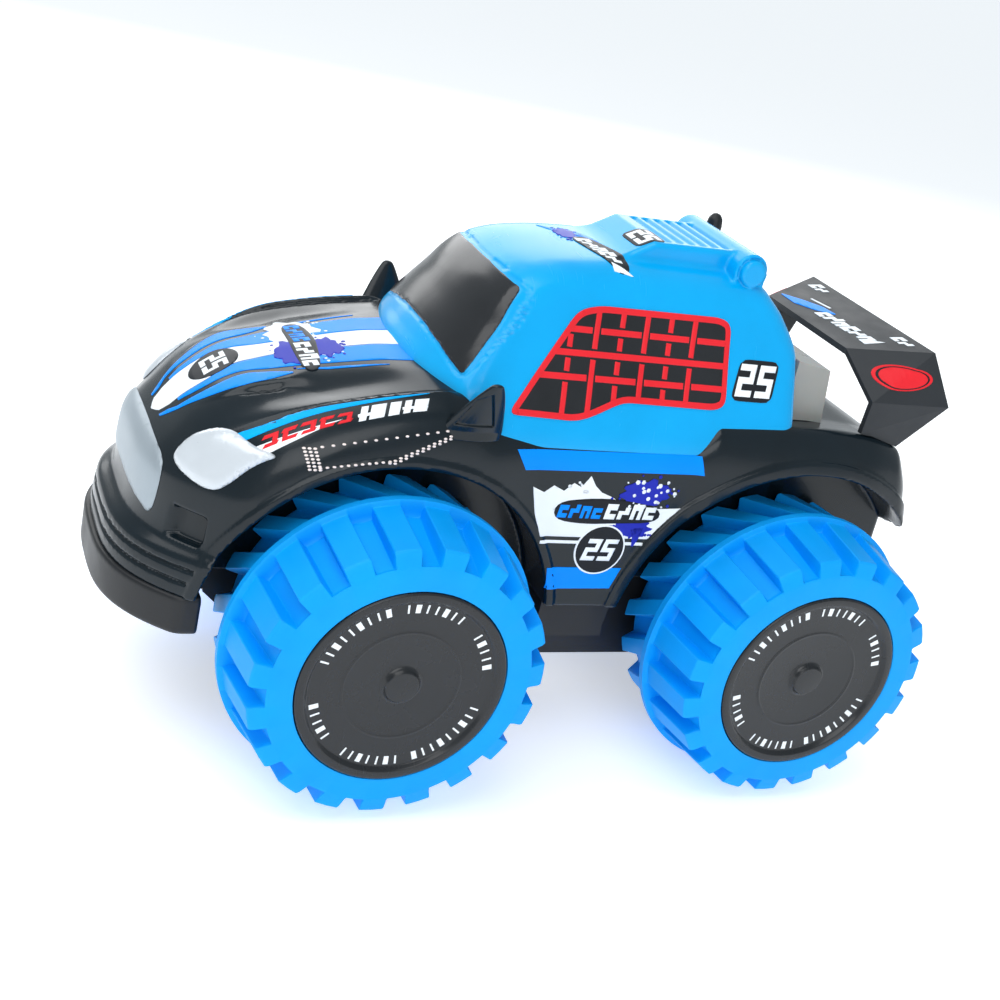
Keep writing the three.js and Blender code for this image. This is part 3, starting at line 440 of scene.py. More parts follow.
def hood_relief(x, y):
    """What stands above or below the plain sections: a raised middle panel with a scoop under each edge,
    and fender bands that step up from the hood."""
    panel_edge = curve_at(PANEL_EDGE, y)
    soft = 0.8 + 12 * ramp(y, -97, -80)
    panel = (1.6 * ramp(y, -124, -106) - 0.6 * ramp(y, -90, -50)) * (1 - ramp(y, -66, -48))
    panel = panel * (1 - ramp(x, panel_edge - soft, panel_edge + soft))
    valley = -0.9 * np.exp(-(((x - 31) / 6) ** 2)) * ramp(y, -128, -112) * (1 - ramp(y, -80, -55))
    scoop = -1.5 * np.exp(-(((x - panel_edge - 0.9) / 0.75) ** 2))
    scoop = scoop * ramp(y, -112, -103) * (1 - ramp(y, -99, -95.5))
    band_edge = curve_at(BAND_EDGE, y)
    band = 1.6 * ramp(x, band_edge - 0.7, band_edge + 0.5) * ramp(y, -119, -112) * (1 - ramp(y, -52, -44))
    seam = -0.9 * np.exp(-(((x - band_edge + 0.9) / 0.55) ** 2))
    seam = seam * ramp(y, -121, -114) * (1 - ramp(y, -56, -48))
    return panel + valley + scoop + band + seam


def body_height_table():
    y = GRID_Y
    columns = [column(BODY_SECTIONS, i, y) for i in range(1, 10)]
    crown, hood_x, hood_z, crest_x, crest_z, shoulder_x, shoulder_z, lip_x, lip_z = columns
    table = np.empty((len(GRID_X), len(y)))
    for j in range(len(y)):
        xs = [0, hood_x[j], crest_x[j], shoulder_x[j], lip_x[j], lip_x[j] + 12]
        zs = [crown[j], hood_z[j], crest_z[j], shoulder_z[j], lip_z[j], lip_z[j] - 12 * 2.7]
        table[:, j] = np.interp(GRID_X, xs, zs)
    spread = np.arange(-8, 9)
    weights = np.exp(-0.5 * (spread * 0.5 / 1.3) ** 2)
    weights /= weights.sum()
    padded = np.concatenate([table[8:0:-1], table, np.repeat(table[-1:], 8, 0)])
    table = sum(w * padded[8 + s : 8 + s + len(table)] for s, w in zip(spread, weights))
    return table + hood_relief(GRID_X[:, None], y[None, :]), lip_x


BODY_TOP, BODY_LIP = body_height_table()
BODY_STEEP = 1 / np.sqrt(1 + sum(g**2 for g in np.gradient(BODY_TOP, 0.5, 1.0)))


def looked_up(table, x, y):
    i = np.clip((x - GRID_X[0]) / 0.5, 0, len(GRID_X) - 1.001)
    j = np.clip((y - GRID_Y[0]) / 1.0, 0, len(GRID_Y) - 1.001)
    i0, j0 = i.astype(int), j.astype(int)
    fi, fj = i - i0, j - j0
    low = table[i0, j0] * (1 - fj) + table[i0, j0 + 1] * fj
    high = table[i0 + 1, j0] * (1 - fj) + table[i0 + 1, j0 + 1] * fj
    return low * (1 - fi) + high * fi


def carve(shell, region, depth, edge=0.35):
    """The shell with a recess of that depth below its own surface, inside a region."""
    return smooth_max(shell, -smooth_max(region, -(shell + depth), edge), edge)


def nose_face(nose_y, lean, ax, y):
    """How far a point is in front of the nose, which sweeps back towards the sides."""
    reach = ax / PLAN_HALF
    steep = np.sqrt(1 + lean**2 + (3 * NOSE_SWEEP * reach**2 / PLAN_HALF) ** 2)
    return (nose_y + NOSE_SWEEP * reach**3 - y) / steep


def outer_body(x, y, z):
    ax = np.abs(x)
    top = (z - looked_up(BODY_TOP, ax, y)) * looked_up(BODY_STEEP, ax, y)
    side = ax - np.interp(y, GRID_Y, BODY_LIP)
    shell = smooth_max(top, side, 2.5)
    nose_y, tail_y = (column(BODY_ENDS, i, z) for i in (1, 2))
    nose_lean = (column(BODY_ENDS, 1, z + 0.5) - nose_y) * 2
    tail_lean = (column(BODY_ENDS, 2, z + 0.5) - tail_y) * 2
    reach = ax / PLAN_HALF
    tail = y - tail_y + TAIL_SWEEP * reach**4
    tail = tail / np.sqrt(1 + tail_lean**2 + (4 * TAIL_SWEEP * reach**3 / PLAN_HALF) ** 2)
    return smooth_max(smooth_max(shell, nose_face(nose_y, nose_lean, ax, y), 5), tail, 4)


FOG_X, FOG_Z = 40.5, 83.4
GROOVES_Z = (71.5, 67.0)
# (axle y, radius, width and height of the flange round each wheel arch)
ARCHES = ((FRONT_Y, FRONT_ARCH_R, 3.4, 0.7), (REAR_Y, REAR_ARCH_R, 5.0, 1.1))


def body_field(x, y, z):
    ax = np.abs(x)
    shell = outer_body(x, y, z)
    fog = smooth_max(np.abs(ax - FOG_X) - 4.6, np.abs(z - FOG_Z) - 5.2, 1.5)
    body = carve(shell, np.maximum(fog, y + 100), 3.8, 0.7)
    for groove_z in GROOVES_Z:
        body = carve(body, np.maximum(np.abs(z - groove_z) - 0.5, y + 98), 1.0, 0.3)
    for axle_y, radius, width, proud in ARCHES:
        radial = np.hypot(y - axle_y, z - AXLE_Z) - radius
        flange = smooth_max(np.abs(radial - width / 2) - width / 2, shell - proud, 0.5)
        body = smooth_min(body, np.maximum(flange, 40 - ax), 0.6)
        body = smooth_max(body, -np.maximum(radial, ARCH_INNER_X - ax), 0.7)
    body = smooth_max(body, BODY_BOTTOM - z, 1.0)
    tunnel = np.maximum(np.maximum(ax - 27.2, z - 100), np.abs(y - 8) - 121)
    return np.maximum(body, -tunnel)


# ---- cabin
# [z, front y at the middle, bow, half width, rear y]
CABIN_RINGS = np.array([
    [118, -47, 8, 48.6, 80],
    [124, -52, 11, 47.5, 80],
    [134, -56, 11, 43.8, 80],
    [140, -52.5, 9.5, 41, 80],
    [152, -44, 7.5, 35.8, 79.5],
    [165, -34, 6, 30.6, 72.5],
    [170, -26, 6, 28.0, 68.5],
    [173.5, -15, 5.5, 26.0, 66],
    [176.5, -2, 4, 24, 61],
])
ROOF_Z = 175.9
ROOF_CROWN = 0.0020
# (x, z) of the windscreen's edge, right half first
SCREEN_HALF = [
    (0, 144.2), (-10, 143.9), (-21.7, 142.4), (-32, 139.9), (-38.4, 138.2), (-37.6, 142.5),
    (-35.4, 149.1), (-32.9, 156.5), (-30.6, 162), (-28.6, 165.4), (-19.6, 166.3), (-7.8, 167),
]
WINDSCREEN = filleted(SCREEN_HALF + [(-x, z) for x, z in SCREEN_HALF[:0:-1]], 1.6)
ROOF_BOX = [(4, 172), (22, 182), (60, 182.5), (64, 176), (64, 165), (4, 165)]


def outer_cabin(x, y, z):
    ax = np.abs(x)
    front, bow, half, rear = (column(CABIN_RINGS, i, z) for i in range(1, 5))
    front_lean = column(CABIN_RINGS, 1, z + 1) - front
    side_lean = column(CABIN_RINGS, 3, z + 1) - half
    rear_lean = column(CABIN_RINGS, 4, z + 1) - rear
    side = (ax - half) / np.sqrt(1 + side_lean**2)
    side = smooth_max(side, z - ROOF_Z + ROOF_CROWN * ax**2, 7)
    reach = np.minimum(ax / half, 1.15)
    steep = np.sqrt(1 + front_lean**2 + (2.4 * bow * reach**1.4 / half) ** 2)
    screen = (front + bow * reach**2.4 - y) / steep
    back = (y - rear) / np.sqrt(1 + rear_lean**2)
    shell = smooth_max(smooth_max(side, screen, 4.5), back, 7)
    return smooth_max(shell, 119 - z, 1.0)


ROD_Y, ROD_Z, ROD_R = 57, 177.6, 6.2
ROOF_SLOTS = 6
SLOT_STEP = 4.6


def cabin_field(x, y, z):
    """The cabin with the groove round its windscreen, the slotted roof box and the rod behind it."""
    ax = np.abs(x)
    groove = np.abs(outline_distance(WINDSCREEN, x, z) - 0.45) - 0.35
    pillar_y = -37.5 + (z - 140) * 0.62
    cabin = carve(outer_cabin(x, y, z), np.maximum(groove, y - pillar_y), 0.6)
    box = smooth_max(outline_distance(ROOF_BOX, y, z), ax - 17, 2.0)
    for i in range(ROOF_SLOTS):
        slot_y = 28 + SLOT_STEP * i
        slot = np.maximum(np.maximum(np.abs(y - slot_y) - 1.1, ax - 14), 181.2 - z)
        box = smooth_max(box, -slot, 0.5)
    rod_r = np.hypot(y - ROD_Y, z - ROD_Z)
    barrel = smooth_max(rod_r - ROD_R, ax - 23.5, 0.8)
    foot = smooth_max(np.maximum(np.abs(y - ROD_Y) - ROD_R, z - ROD_Z), ax - 23.5, 0.8)
    cap = smooth_max(rod_r - 4.7, ax - 25.5, 0.6)
    ring = np.maximum(np.abs(rod_r - 5.0) - 0.35, 22.6 - ax)
    fittings = smooth_max(smooth_min(smooth_min(barrel, foot, 0.5), cap, 0.4), -ring, 0.3)
    fittings = np.maximum(fittings, 168 - z)
    return smooth_min(smooth_min(cabin, box, 2.2), fittings, 0.8)


def lip_field(x, y, z):
    """The smooth chin under the nose, over the hull's bumper block."""
    ax = np.abs(x)
    block = smooth_max(nose_face(-145.9, 0, ax, y), ax - 48, 1.5)
    block = smooth_max(block, np.abs(z - 55.8) - 6.6, 1.6)
    return smooth_max(block, y + 117.5, 1)


# (y, z)
MIRROR_FACE = [(-50, 127.5), (-46.5, 137), (-42.4, 140), (-40, 134), (-37.5, 127.5)]


def mirror_field(x, y, z):
    """A shark-fin door mirror on the left side, with a shallow inset face towards the front."""
    rise = (z - 125) / 19
    middle_x, middle_y = 49 + 8.5 * np.clip(rise, 0, 1.2), -43 + 1.6 * rise
    long = np.maximum(9.6 * (1 - np.clip(rise, 0, 1)) ** 0.75 + 0.7, 0.7)
    thick = np.maximum(3.0 * (1 - 0.62 * np.clip(rise, 0, 1)), 0.8)
    lean = (y - middle_y) / long
    fin = (np.sqrt((np.abs(lean) ** 2.2) + (np.abs(x - middle_x) / thick) ** 2 + 1e-9) - 1) * thick
    fin = smooth_max(fin, z - 143.4, 1.0)
    face = np.maximum(outline_distance(MIRROR_FACE, y, z), middle_x - x)
    return np.maximum(carve(fin, face, 0.6), 122 - z)


def make_trim():
    points, quads = skin(lip_field, (-52, -149, 47), (52, -113, 64), 0.8)
    add_piece("bumper_lip", points, quads, HULL_BLACK, "chassis")
    points, quads = skin(mirror_field, (40, -56, 120), (62, -30, 146), 0.35)
    for label, side in SIDES:
        fin = points * np.array([side, 1, 1])
        faces = quads if side > 0 else quads[:, ::-1]
        add_piece(f"mirror_fin_{label}", fin, faces, BODY_BLACK, "chassis", replaces=[f"mirror_{label}"])


# ---- wheels
# (lug radius, groove radius, depth behind the wheel face, share of the inner lugs' slant)
TYRE_ROWS = [
    (34.3, 34.3, 0.6, 0), (35.0, 35.0, 0.4, 0), (41.6, 41.6, 0.7, 0), (42.6, 42.5, 1.0, 0),
    (46.9, 42.3, 1.9, 0), (47.6, 42.4, 2.3, 0), (47.9, 42.5, 2.8, 0), (50.3, 46.4, 24.3, 0),
    (50.35, 47.0, 24.8, 0), (50.6, 48.2, 25.1, 0), (51.5, 51.2, 25.3, 0), (WHEEL_R, WHEEL_R, 25.7, 0),
    (WHEEL_R, WHEEL_R, 28.2, 0), (51.6, 51.3, 28.6, 0), (50.7, 46.8, 28.9, 0.02), (50.6, 46.4, 29.4, 0.04),
    (48.6, 43.4, 50.0, 0.97), (48.1, 43.3, 50.6, 1), (43.6, 43.0, 51.8, 1), (42.6, 42.6, 52.2, 1),
    (34.6, 34.6, 52.8, 1), (34.3, 34.3, 52.6, 1), (34.3, 34.3, 1.0, 0),
]
LUGS = 19
SLANT = -1.6 * math.pi / LUGS
CROWN_ROW = 12


def tyre(side, axle_y):
    """A ribbed rubber ring: 19 wide shoulder lugs, a crown ring and 19 slanted paddles behind it."""
    pitch = 2 * math.pi / LUGS
    steps = [0, 0.015, 0.035, 0.28, 0.52, 0.54, 0.555, 0.57, 0.59, 0.78, 0.965, 0.985]
    outer = [0.5, 0.93, 1, 1, 1, 0.93, 0.5, 0.07, 0, 0, 0, 0.07]
    points, faces = [], []
    for lug in range(LUGS):
        for step, full in zip(steps, outer):
            for row, (high, low, depth, slant) in enumerate(TYRE_ROWS):
                share = full if row <= CROWN_ROW else 1 - full
                r = low + (high - low) * share
                a = (lug + step) * pitch + slant * SLANT
                points.append((side * (FACE_X - depth), axle_y - r * math.cos(a), AXLE_Z + r * math.sin(a)))
    count, columns = len(TYRE_ROWS), LUGS * len(steps)
    for c in range(columns):
        n = (c + 1) % columns
        for k in range(count):
            j = (k + 1) % count
            face = (c * count + k, n * count + k, n * count + j, c * count + j)
            faces.append(face if side > 0 else face[::-1])
    return points, faces


# (radius, depth behind the wheel face)
HUB_PROFILE = [
    (0.01, 0.8), (5.0, 0.8), (5.4, 1.0), (5.6, 1.6), (6.4, 2.5), (7.2, 2.6), (18.3, 2.15), (18.6, 1.75),
    (19.4, 1.75), (19.7, 2.1), (29.6, 1.6), (30.2, 1.2), (30.8, 0.3), (31.4, 0.05), (33.2, 0.0),
    (33.8, 0.3), (34.0, 0.9), (34.0, 5.6), (0.01, 5.6),
]
RIM_PROFILE = [
    (31.6, 6), (34.0, 6), (34.0, 52.2), (33.4, 53), (32.0, 53), (31.4, 52.2), (31.4, 23.4), (30.8, 23),
    (9.0, 23), (8.0, 24), (8.0, 43.4), (7.4, 44), (2.8, 44), (2.8, 10), (7.4, 10), (8.0, 10.6), (8.0, 19),
    (9.0, 20), (30.8, 20), (31.4, 19.4),
]


def make_wheels():
    for end, axle_y in (("front", FRONT_Y), ("rear", REAR_Y)):
        for label, side in SIDES:
            body, name = f"{end}_{label}_wheel", f"{end}_{label}"
            points, faces = tyre(side, axle_y)
            looks = (TYRE_AZURE, body, "azure_tyre", [f"tyre_{name}"])
            rubber = add_piece(f"tyre_rubber_{name}", points, faces, *looks)
            rubber.data.set_sharp_from_angle(angle=math.radians(38))
            rubber.modifiers.new("crisp", "WEIGHTED_NORMAL").keep_sharp = True
            looks = (HUB_BLACK, body, "hubcap_black", [f"hubcap_{name}"])
            disc = add_piece(f"hub_disc_{name}", *turned(HUB_PROFILE, axle_y, side), *looks)
            disc.modifiers.new("even_shading", "WEIGHTED_NORMAL")
            looks = (RIM_BLACK, body, "rim_black", [f"rim_{name}"])
            add_piece(f"rim_barrel_{name}", *turned(RIM_PROFILE, axle_y, side), *looks)
            add_hub_marks(name, body, axle_y, side)


def add_hub_marks(name, body, axle_y, side):
    """Two arcs of short white bars on the sloping part of the disc."""
    points, faces = [], []
    for arc in (0.0, math.pi):
        for i in range(24):
            if i in (5, 6, 14):
                continue
            a = arc + math.radians(14 + 6.4 * i)
            half = 0.011 if i % 3 else 0.03
            b = [len(points) + k for k in range(8)]
            for da, r in ((-half, 26.2), (half, 26.2), (half, 29.2), (-half, 29.2)):
                for lift in (0.0, 0.14):
                    x = side * (FACE_X - 2.17 + lift + (r - 19.7) * 0.05)
                    points.append((x, axle_y + r * math.cos(a + da), AXLE_Z + r * math.sin(a + da)))
            cell = [
                (b[1], b[3], b[5], b[7]), (b[0], b[6], b[4], b[2]), (b[0], b[2], b[3], b[1]),
                (b[2], b[4], b[5], b[3]), (b[4], b[6], b[7], b[5]), (b[6], b[0], b[1], b[7]),
            ]
            faces += cell if side > 0 else [f[::-1] for f in cell]
    add_piece(f"hub_marks_{name}", points, faces, FILM_WHITE, body, flat=True)


# ---- films, lamps and windows laid on the shells
SIDE_IN = (-1, 0, 0)
DOWN = (0, 0, -1)


def tree_of(name):
    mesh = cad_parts[name].data
    points = [tuple(v.co / MM) for v in mesh.vertices]
    return BVHTree.FromPolygons(points, [tuple(p.vertices) for p in mesh.polygons])


def patch(name, outlines, toward, tree, material, lift=0.18, cell=1.4, dome=0.0, reach=5.0, **options):
    """A thin film over the shell. Each closed outline is projected along `toward`, cut into small cells,
    dropped onto the surface and given a thickness; a dome makes its middle swell."""
    toward = Vector(toward).normalized()
    across = toward.cross(Vector((0, 0, 1)))
    across = across.normalized() if across.length > 0.05 else Vector((1, 0, 0))
    rise = across.cross(toward)
    shape = bmesh.new()
    flats = [[(across.dot(Vector(p)), rise.dot(Vector(p))) for p in outline] for outline in outlines]
    for flat in flats:
        shape.faces.new([shape.verts.new((u, v, 0)) for u, v in flat]).normal_update()
    bmesh.ops.triangulate(shape, faces=shape.faces[:])
    for axis, along in enumerate((Vector((1, 0, 0)), Vector((0, 1, 0)))):
        values = [v.co[axis] for v in shape.verts]
        for k in range(math.ceil(min(values) / cell), math.floor(max(values) / cell) + 1):
            whole = shape.verts[:] + shape.edges[:] + shape.faces[:]
            cut = dict(plane_co=along * k * cell, plane_no=along, dist=1e-4)
            bmesh.ops.bisect_plane(shape, geom=whole, **cut)
    for face in shape.faces:
        face.normal_update()
        if face.normal.z < 0:
            face.normal_flip()
    missed = []
    for vertex in shape.verts:
        u, v = vertex.co.x, vertex.co.y
        start = across * u + rise * v - toward * 400
        place, normal, _, _ = tree.ray_cast(start, toward)
        if place is None:
            missed.append(vertex)
            continue
        height = lift
        if dome:
            inside = max(-float(outline_distance(flat, u, v)) for flat in flats)
            share = min(max(inside, 0) / reach, 1)
            height += dome * math.sqrt(1 - (1 - share) ** 2)
        vertex.co = (place + normal * height) * MM
    bmesh.ops.delete(shape, geom=missed, context="VERTS")
    mesh = bpy.data.meshes.new(name)
    shape.to_mesh(mesh)
    shape.free()
    piece = shown(name, mesh, material, "chassis", **options)
    film = piece.modifiers.new("film", "SOLIDIFY")
    film.thickness = (lift + 0.12) * MM
    film.offset = -1
    piece.modifiers.new("even_shading", "WEIGHTED_NORMAL")


def both_sides(name, outlines, toward, tree, material, replaces=None, **options):
    """The same film on both flanks, from outlines on the left one."""
    for label, side in SIDES:
        flank = [[(x * side, y, z) for x, y, z in o] for o in outlines]
        replaced = [f"{replaces}_{label}"] if replaces else ()
        inward = (toward[0] * side, *toward[1:])
        patch(f"{name}_{label}", flank, inward, tree, material, replaces=replaced, **options)


def side_films(name, outlines, tree, material, toward=SIDE_IN, **options):
    """Films on both flanks from (y, z) outlines."""
    flat = [[(60, y, z) for y, z in o] for o in outlines]
    both_sides(name, flat, toward, tree, material, **options)


def on_top(points):
    return [(x, y, 200) for x, y in points]


def top_film(name, outlines, tree, material, **options):
    """A film seen from above, from (x, y) outlines."""
    patch(name, [on_top(o) for o in outlines], DOWN, tree, material, **options)


def strip(points, width):
    """A closed outline following an open line, with a width that may change along it."""
    points = np.asarray(points, float)
    widths = np.broadcast_to(width, len(points))
    along = np.gradient(points, axis=0)
    along /= np.maximum(np.linalg.norm(along, axis=1)[:, None], 1e-9)
    off = np.stack([-along[:, 1], along[:, 0]], 1) * widths[:, None] / 2
    return [tuple(p) for p in np.concatenate([points + off, (points - off)[::-1]])]


def ring(centre, radii, count=40):
    """A closed outline round a point: a circle, an ellipse or, with a radius per direction, a blot."""
    if np.ndim(radii) < 2:
        radii = np.broadcast_to(np.asarray(radii, float), (count, 2))
    turn = np.linspace(0, 2 * math.pi, count, endpoint=False)
    x, y = centre
    return [(x + r[0] * math.cos(a), y + r[1] * math.sin(a)) for a, r in zip(turn, radii)]


def blot(centre, size, chance, count=36, rough=0.42):
    """A splash: a ragged rounded patch with spikes, and droplets round it."""
    shares = [1 - rough / 2 + rough * chance.random() for _ in range(count)]
    for k in range(0, count, 4):
        shares[k] *= 1.35
    shares = [(a + b) / 2 for a, b in zip(shares, shares[1:] + shares[:1])]
    shapes = [ring(centre, np.array([(size[0] * s, size[1] * s) for s in shares]), count)]
    for _ in range(14):
        angle, far = chance.random() * 2 * math.pi, 1.1 + 0.45 * chance.random()
        spot = (centre[0] + size[0] * far * math.cos(angle), centre[1] + size[1] * far * math.sin(angle))
        shapes.append(ring(spot, 0.25 + 0.5 * chance.random(), 7))
    return shapes


DIGIT_W = 0.62
DIGIT_GAP = 0.14
TWO = [
    (0, 1), (0.62, 1), (0.62, 0.4), (0.2, 0.4), (0.2, 0.2), (0.62, 0.2), (0.62, 0), (0, 0), (0, 0.6),
    (0.42, 0.6), (0.42, 0.8), (0, 0.8),
]
DIGITS = {"2": TWO, "5": [(DIGIT_W - x, y) for x, y in TWO]}
RACE_NUMBER = "25"


def number(centre, right, up, height, slant=0.0):
    """Outlines of the race number in the plane of two directions, with its middle at a point."""
    centre, right, up = (np.array(v, float) for v in (centre, right, up))
    pitch = DIGIT_W + DIGIT_GAP
    width = pitch * len(RACE_NUMBER) - DIGIT_GAP
    outlines = []
    for i, figure in enumerate(RACE_NUMBER):
        shape = []
        for u, v in DIGITS[figure]:
            a = (u + i * pitch - width / 2 + slant * (v - 0.5)) * height
            shape.append(tuple(centre + right * a + up * (v - 0.5) * height))
        outlines.append(shape)
    return outlines


def side_number(name, place, height, tree, lift):
    for label, side in SIDES:
        outlines = number((60 * side, *place), (0, side, 0), (0, 0, 1), height, 0.22)
        patch(f"{name}_{label}", outlines, (-side, 0, 0), tree, FILM_WHITE, lift=lift)


# Three bitten blocks, (x, y) as shares of their size
BLOCKS = [
    [(0, 0), (1, 0), (1, 0.35), (0.4, 0.35), (0.4, 0.6), (1, 0.6), (1, 1), (0, 1)],
    [(0, 0), (0.4, 0), (0.4, 0.4), (1, 0.4), (1, 1), (0.55, 1), (0.55, 0.7), (0, 0.7)],
    [(0, 0), (0.36, 0), (0.36, 0.6), (0.64, 0.6), (0.64, 0), (1, 0), (1, 1), (0, 1)],
]


def mark_row(start, step, count, size, lean, chance):
    """A row of slanted blocks with a bite out of each, standing in for lettering."""
    shapes = []
    for i in range(count):
        x, y = start[0] + step[0] * i, start[1] + step[1] * i
        w, h = size[0], size[1] * (0.85 + 0.3 * chance.random())
        shapes.append([(x + u * w + lean * v * h, y + v * h) for u, v in BLOCKS[i % 3]])
    return shapes


def between(inner, outer, ys):
    """An outline on the hood between two edges, each given as (y, x) points."""
    near = [(curve_at(inner, y), y) for y in ys]
    far = [(curve_at(outer, y), y) for y in ys[::-1]]
    return [(float(x), float(y)) for x, y in near + far]


# (y, x) of the hood stripes' edges
WHITE_EDGE = [
    (-130.7, 0.3), (-129.3, 4.6), (-127, 6.4), (-124, 7.0), (-119, 7.7), (-116, 7.8), (-111, 6.4),
    (-103, 5.3), (-95, 4.6), (-73, 5.7), (-53.5, 6.1),
]
BLUE_IN = [(y, x + 0.55) for y, x in WHITE_EDGE]
BLUE_OUT = [
    (-125, 8.6), (-121, 10.6), (-112, 12.0), (-105, 12.8), (-99, 14), (-92, 15), (-74, 17.2), (-53, 19),
]
OUTER_BLUE_IN = [
    (-129.5, 7.2), (-127, 9), (-125, 11.6), (-120, 13.4), (-113, 14.6), (-107, 14.9), (-99.5, 16.4),
    (-93, 19.0),
]
OUTER_BLUE_OUT = [
    (-129.5, 8.4), (-125, 13.3), (-120, 16.7), (-113, 20), (-107, 21.4), (-101, 21), (-93, 19.6),
]
HOOD_ROUNDEL = (0, -113.2)


def decorate_hood():
    tree = body_tree
    ys = np.concatenate([[-130.7, -130.4, -130.0], np.linspace(-129.3, -53.5, 30)])
    white = between(WHITE_EDGE, [(y, -x) for y, x in WHITE_EDGE], ys)
    top_film("hood_stripe_white", [white], tree, FILM_WHITE)
    blue = [
        between(BLUE_IN, BLUE_OUT, np.linspace(-124.6, -53.2, 26)),
        between(OUTER_BLUE_IN, OUTER_BLUE_OUT, np.linspace(-129.5, -93, 18)),
        strip([(17.5, -91.5), (19.6, -82.4), (20.8, -72), (21.7, -63.2)], [0.2, 1.1, 0.9, 0.2]),
    ]
    both_sides("hood_stripe_blue", [on_top(o) for o in blue], DOWN, tree, FILM_BLUE)
    top_film("hood_roundel", [ring(HOOD_ROUNDEL, (8.0, 7.2))], tree, FILM_DARK, lift=0.25)
    outlines = number((*HOOD_ROUNDEL, 200), (1, 0, 0), (0, 1, 0), 7.2)
    patch("hood_number", outlines, DOWN, tree, FILM_WHITE, lift=0.32)

    chance = random.Random(5)
    mist = blot((-12, -87), (9, 7.5), chance) + blot((3, -80.5), (8, 4.5), chance)
    top_film("hood_mist", mist, tree, FILM_WHITE, lift=0.23)
    splash = blot((6, -90), (7.5, 5), chance) + blot((5, -79.5), (6.5, 4.6), chance)
    top_film("hood_splash", splash, tree, FILM_ROYAL, lift=0.27)
    back = strip([(-18, -86), (-4, -85.2), (8, -86.2), (20, -87)], [6.5, 8.6, 7.6, 5])
    top_film("hood_badge_ground", [rounded(back)], tree, FILM_DARK, lift=0.31)
    cool = mark_row((-16.6, -88.2), (3.9, 0.1), 4, (3.1, 4.6), 0.12, chance)
    top_film("hood_badge_blue", cool, tree, FILM_BLUE, lift=0.37)
    pale = mark_row((-0.6, -88.6), (4.6, -0.15), 4, (3.7, 5.2), 0.12, chance)
    top_film("hood_badge_white", pale, tree, FILM_WHITE, lift=0.37)


# The fender band's two long edges, (x, y, z)
FENDER_UPPER = [
    (40.7, -115.1, 116.4), (41.9, -107.4, 120), (42.8, -96.2, 124.5), (43.5, -81.6, 128.4),
    (43.3, -66.2, 131.5), (43, -57, 133),
]
FENDER_LOWER = [(48.0, -115, 108.5), (47.6, -104, 113.8), (47.6, -82, 122.3), (47.2, -60, 128.0)]
WEDGE = [
    (44.6, -109.5, 112.2), (45.4, -98, 117.6), (46.0, -84, 123.2), (47.0, -97, 116.4),
    (47.6, -104, 112.8), (47.0, -108.5, 110.6),
]


def fender_point(y, share):
    """A point of the band at y, from its upper edge (share 0) to its lower one (share 1)."""
    points = []
    for line in (FENDER_UPPER, FENDER_LOWER):
        xs, ys, zs = zip(*line)
        points.append(np.array([monotone(ys, xs, y), y, monotone(ys, zs, y)]))
    return tuple(points[0] * (1 - share) + points[1] * share)


def slab(y, width, low, high, lean=0.0):
    """A leaning block on the band between two shares."""
    corners = ((y, low), (y + width, low), (y + width + lean, high), (y + lean, high))
    return [fender_point(*corner) for corner in corners]


def decorate_fenders():
    inward = (-0.6, 0, -0.8)
    tree = body_tree
    ys = np.linspace(-115, -57, 18)
    stripe = [fender_point(y, 0) for y in ys]
    stripe += [fender_point(y, 0.34 * ((-57 - y) / 58) ** 0.8 + 0.02) for y in ys[::-1]]
    both_sides("fender_stripe", [stripe], inward, tree, FILM_SKY, lift=0.26, cell=1.0)
    red = []
    width, low, high, bar, lean = 3.9, 0.86, 0.44, 0.12, 0.8
    for i in range(5):
        y = -106.5 + 5.2 * i
        upright_y = y if i % 2 else y + 0.62 * width
        red.append(slab(y, width, low, low - bar, lean))
        red.append(slab(y, width, high + bar, high, lean))
        red.append(slab(upright_y, 0.38 * width, low, high, lean))
    both_sides("fender_dashes", red, inward, tree, FILM_RED, lift=0.24)
    bars = ((-79.5, 2.2), (-76.4, 4.6), (-70.6, 3.4), (-66.0, 2.2), (-62.9, 4.4))
    white = [slab(y, width, 0.94, 0.3, 1.2) for y, width in bars]
    white += [slab(y, 8, 0.75, 0.62) for y in (-79.6, -66.0)]
    both_sides("fender_bars", white, inward, tree, FILM_WHITE, lift=0.24)
    both_sides("fender_wedge", [WEDGE], inward, tree, FILM_WHITE, lift=0.22)

    dots = [(y, 120.9 + 8.2 * (y + 90) / 41) for y in np.arange(-90, -49, 3.2)]
    dots += [(y + 0.35 * k, 120.2 - 1.15 * k) for y in (-95.2, -93.6, -92.0) for k in range(7)]
    dots += [(y, 113.6 + 0.16 * (y + 92)) for y in np.arange(-90, -68, 2.1)]
    dots += [(y + d, 116.8 + (y + 69) * 0.54) for y in np.arange(-69, -50, 1.7) for d in (0, 1.7)]
    small = [ring(d, (0.62, 0.42), 6) for d in dots]
    side_films("fender_dots", small, tree, FILM_ROSE, toward=(-0.9, 0, -0.4), lift=0.12, cell=6)


def arch_y(z):
    """Where the rear arch's flange starts at a height."""
    return REAR_Y - math.sqrt((REAR_ARCH_R + 5.4) ** 2 - (z - AXLE_Z) ** 2)


CREST = [
    (-17.4, 106.6), (-13, 104.8), (-10, 107.4), (-6, 105.6), (-3, 108.6), (0, 107.2), (2.5, 111.4),
    (5, 108), (8, 105.6), (12, 104.2), (18, 101.4), (24, 100),
]
DOOR_ROUNDEL = (13, 84.4)


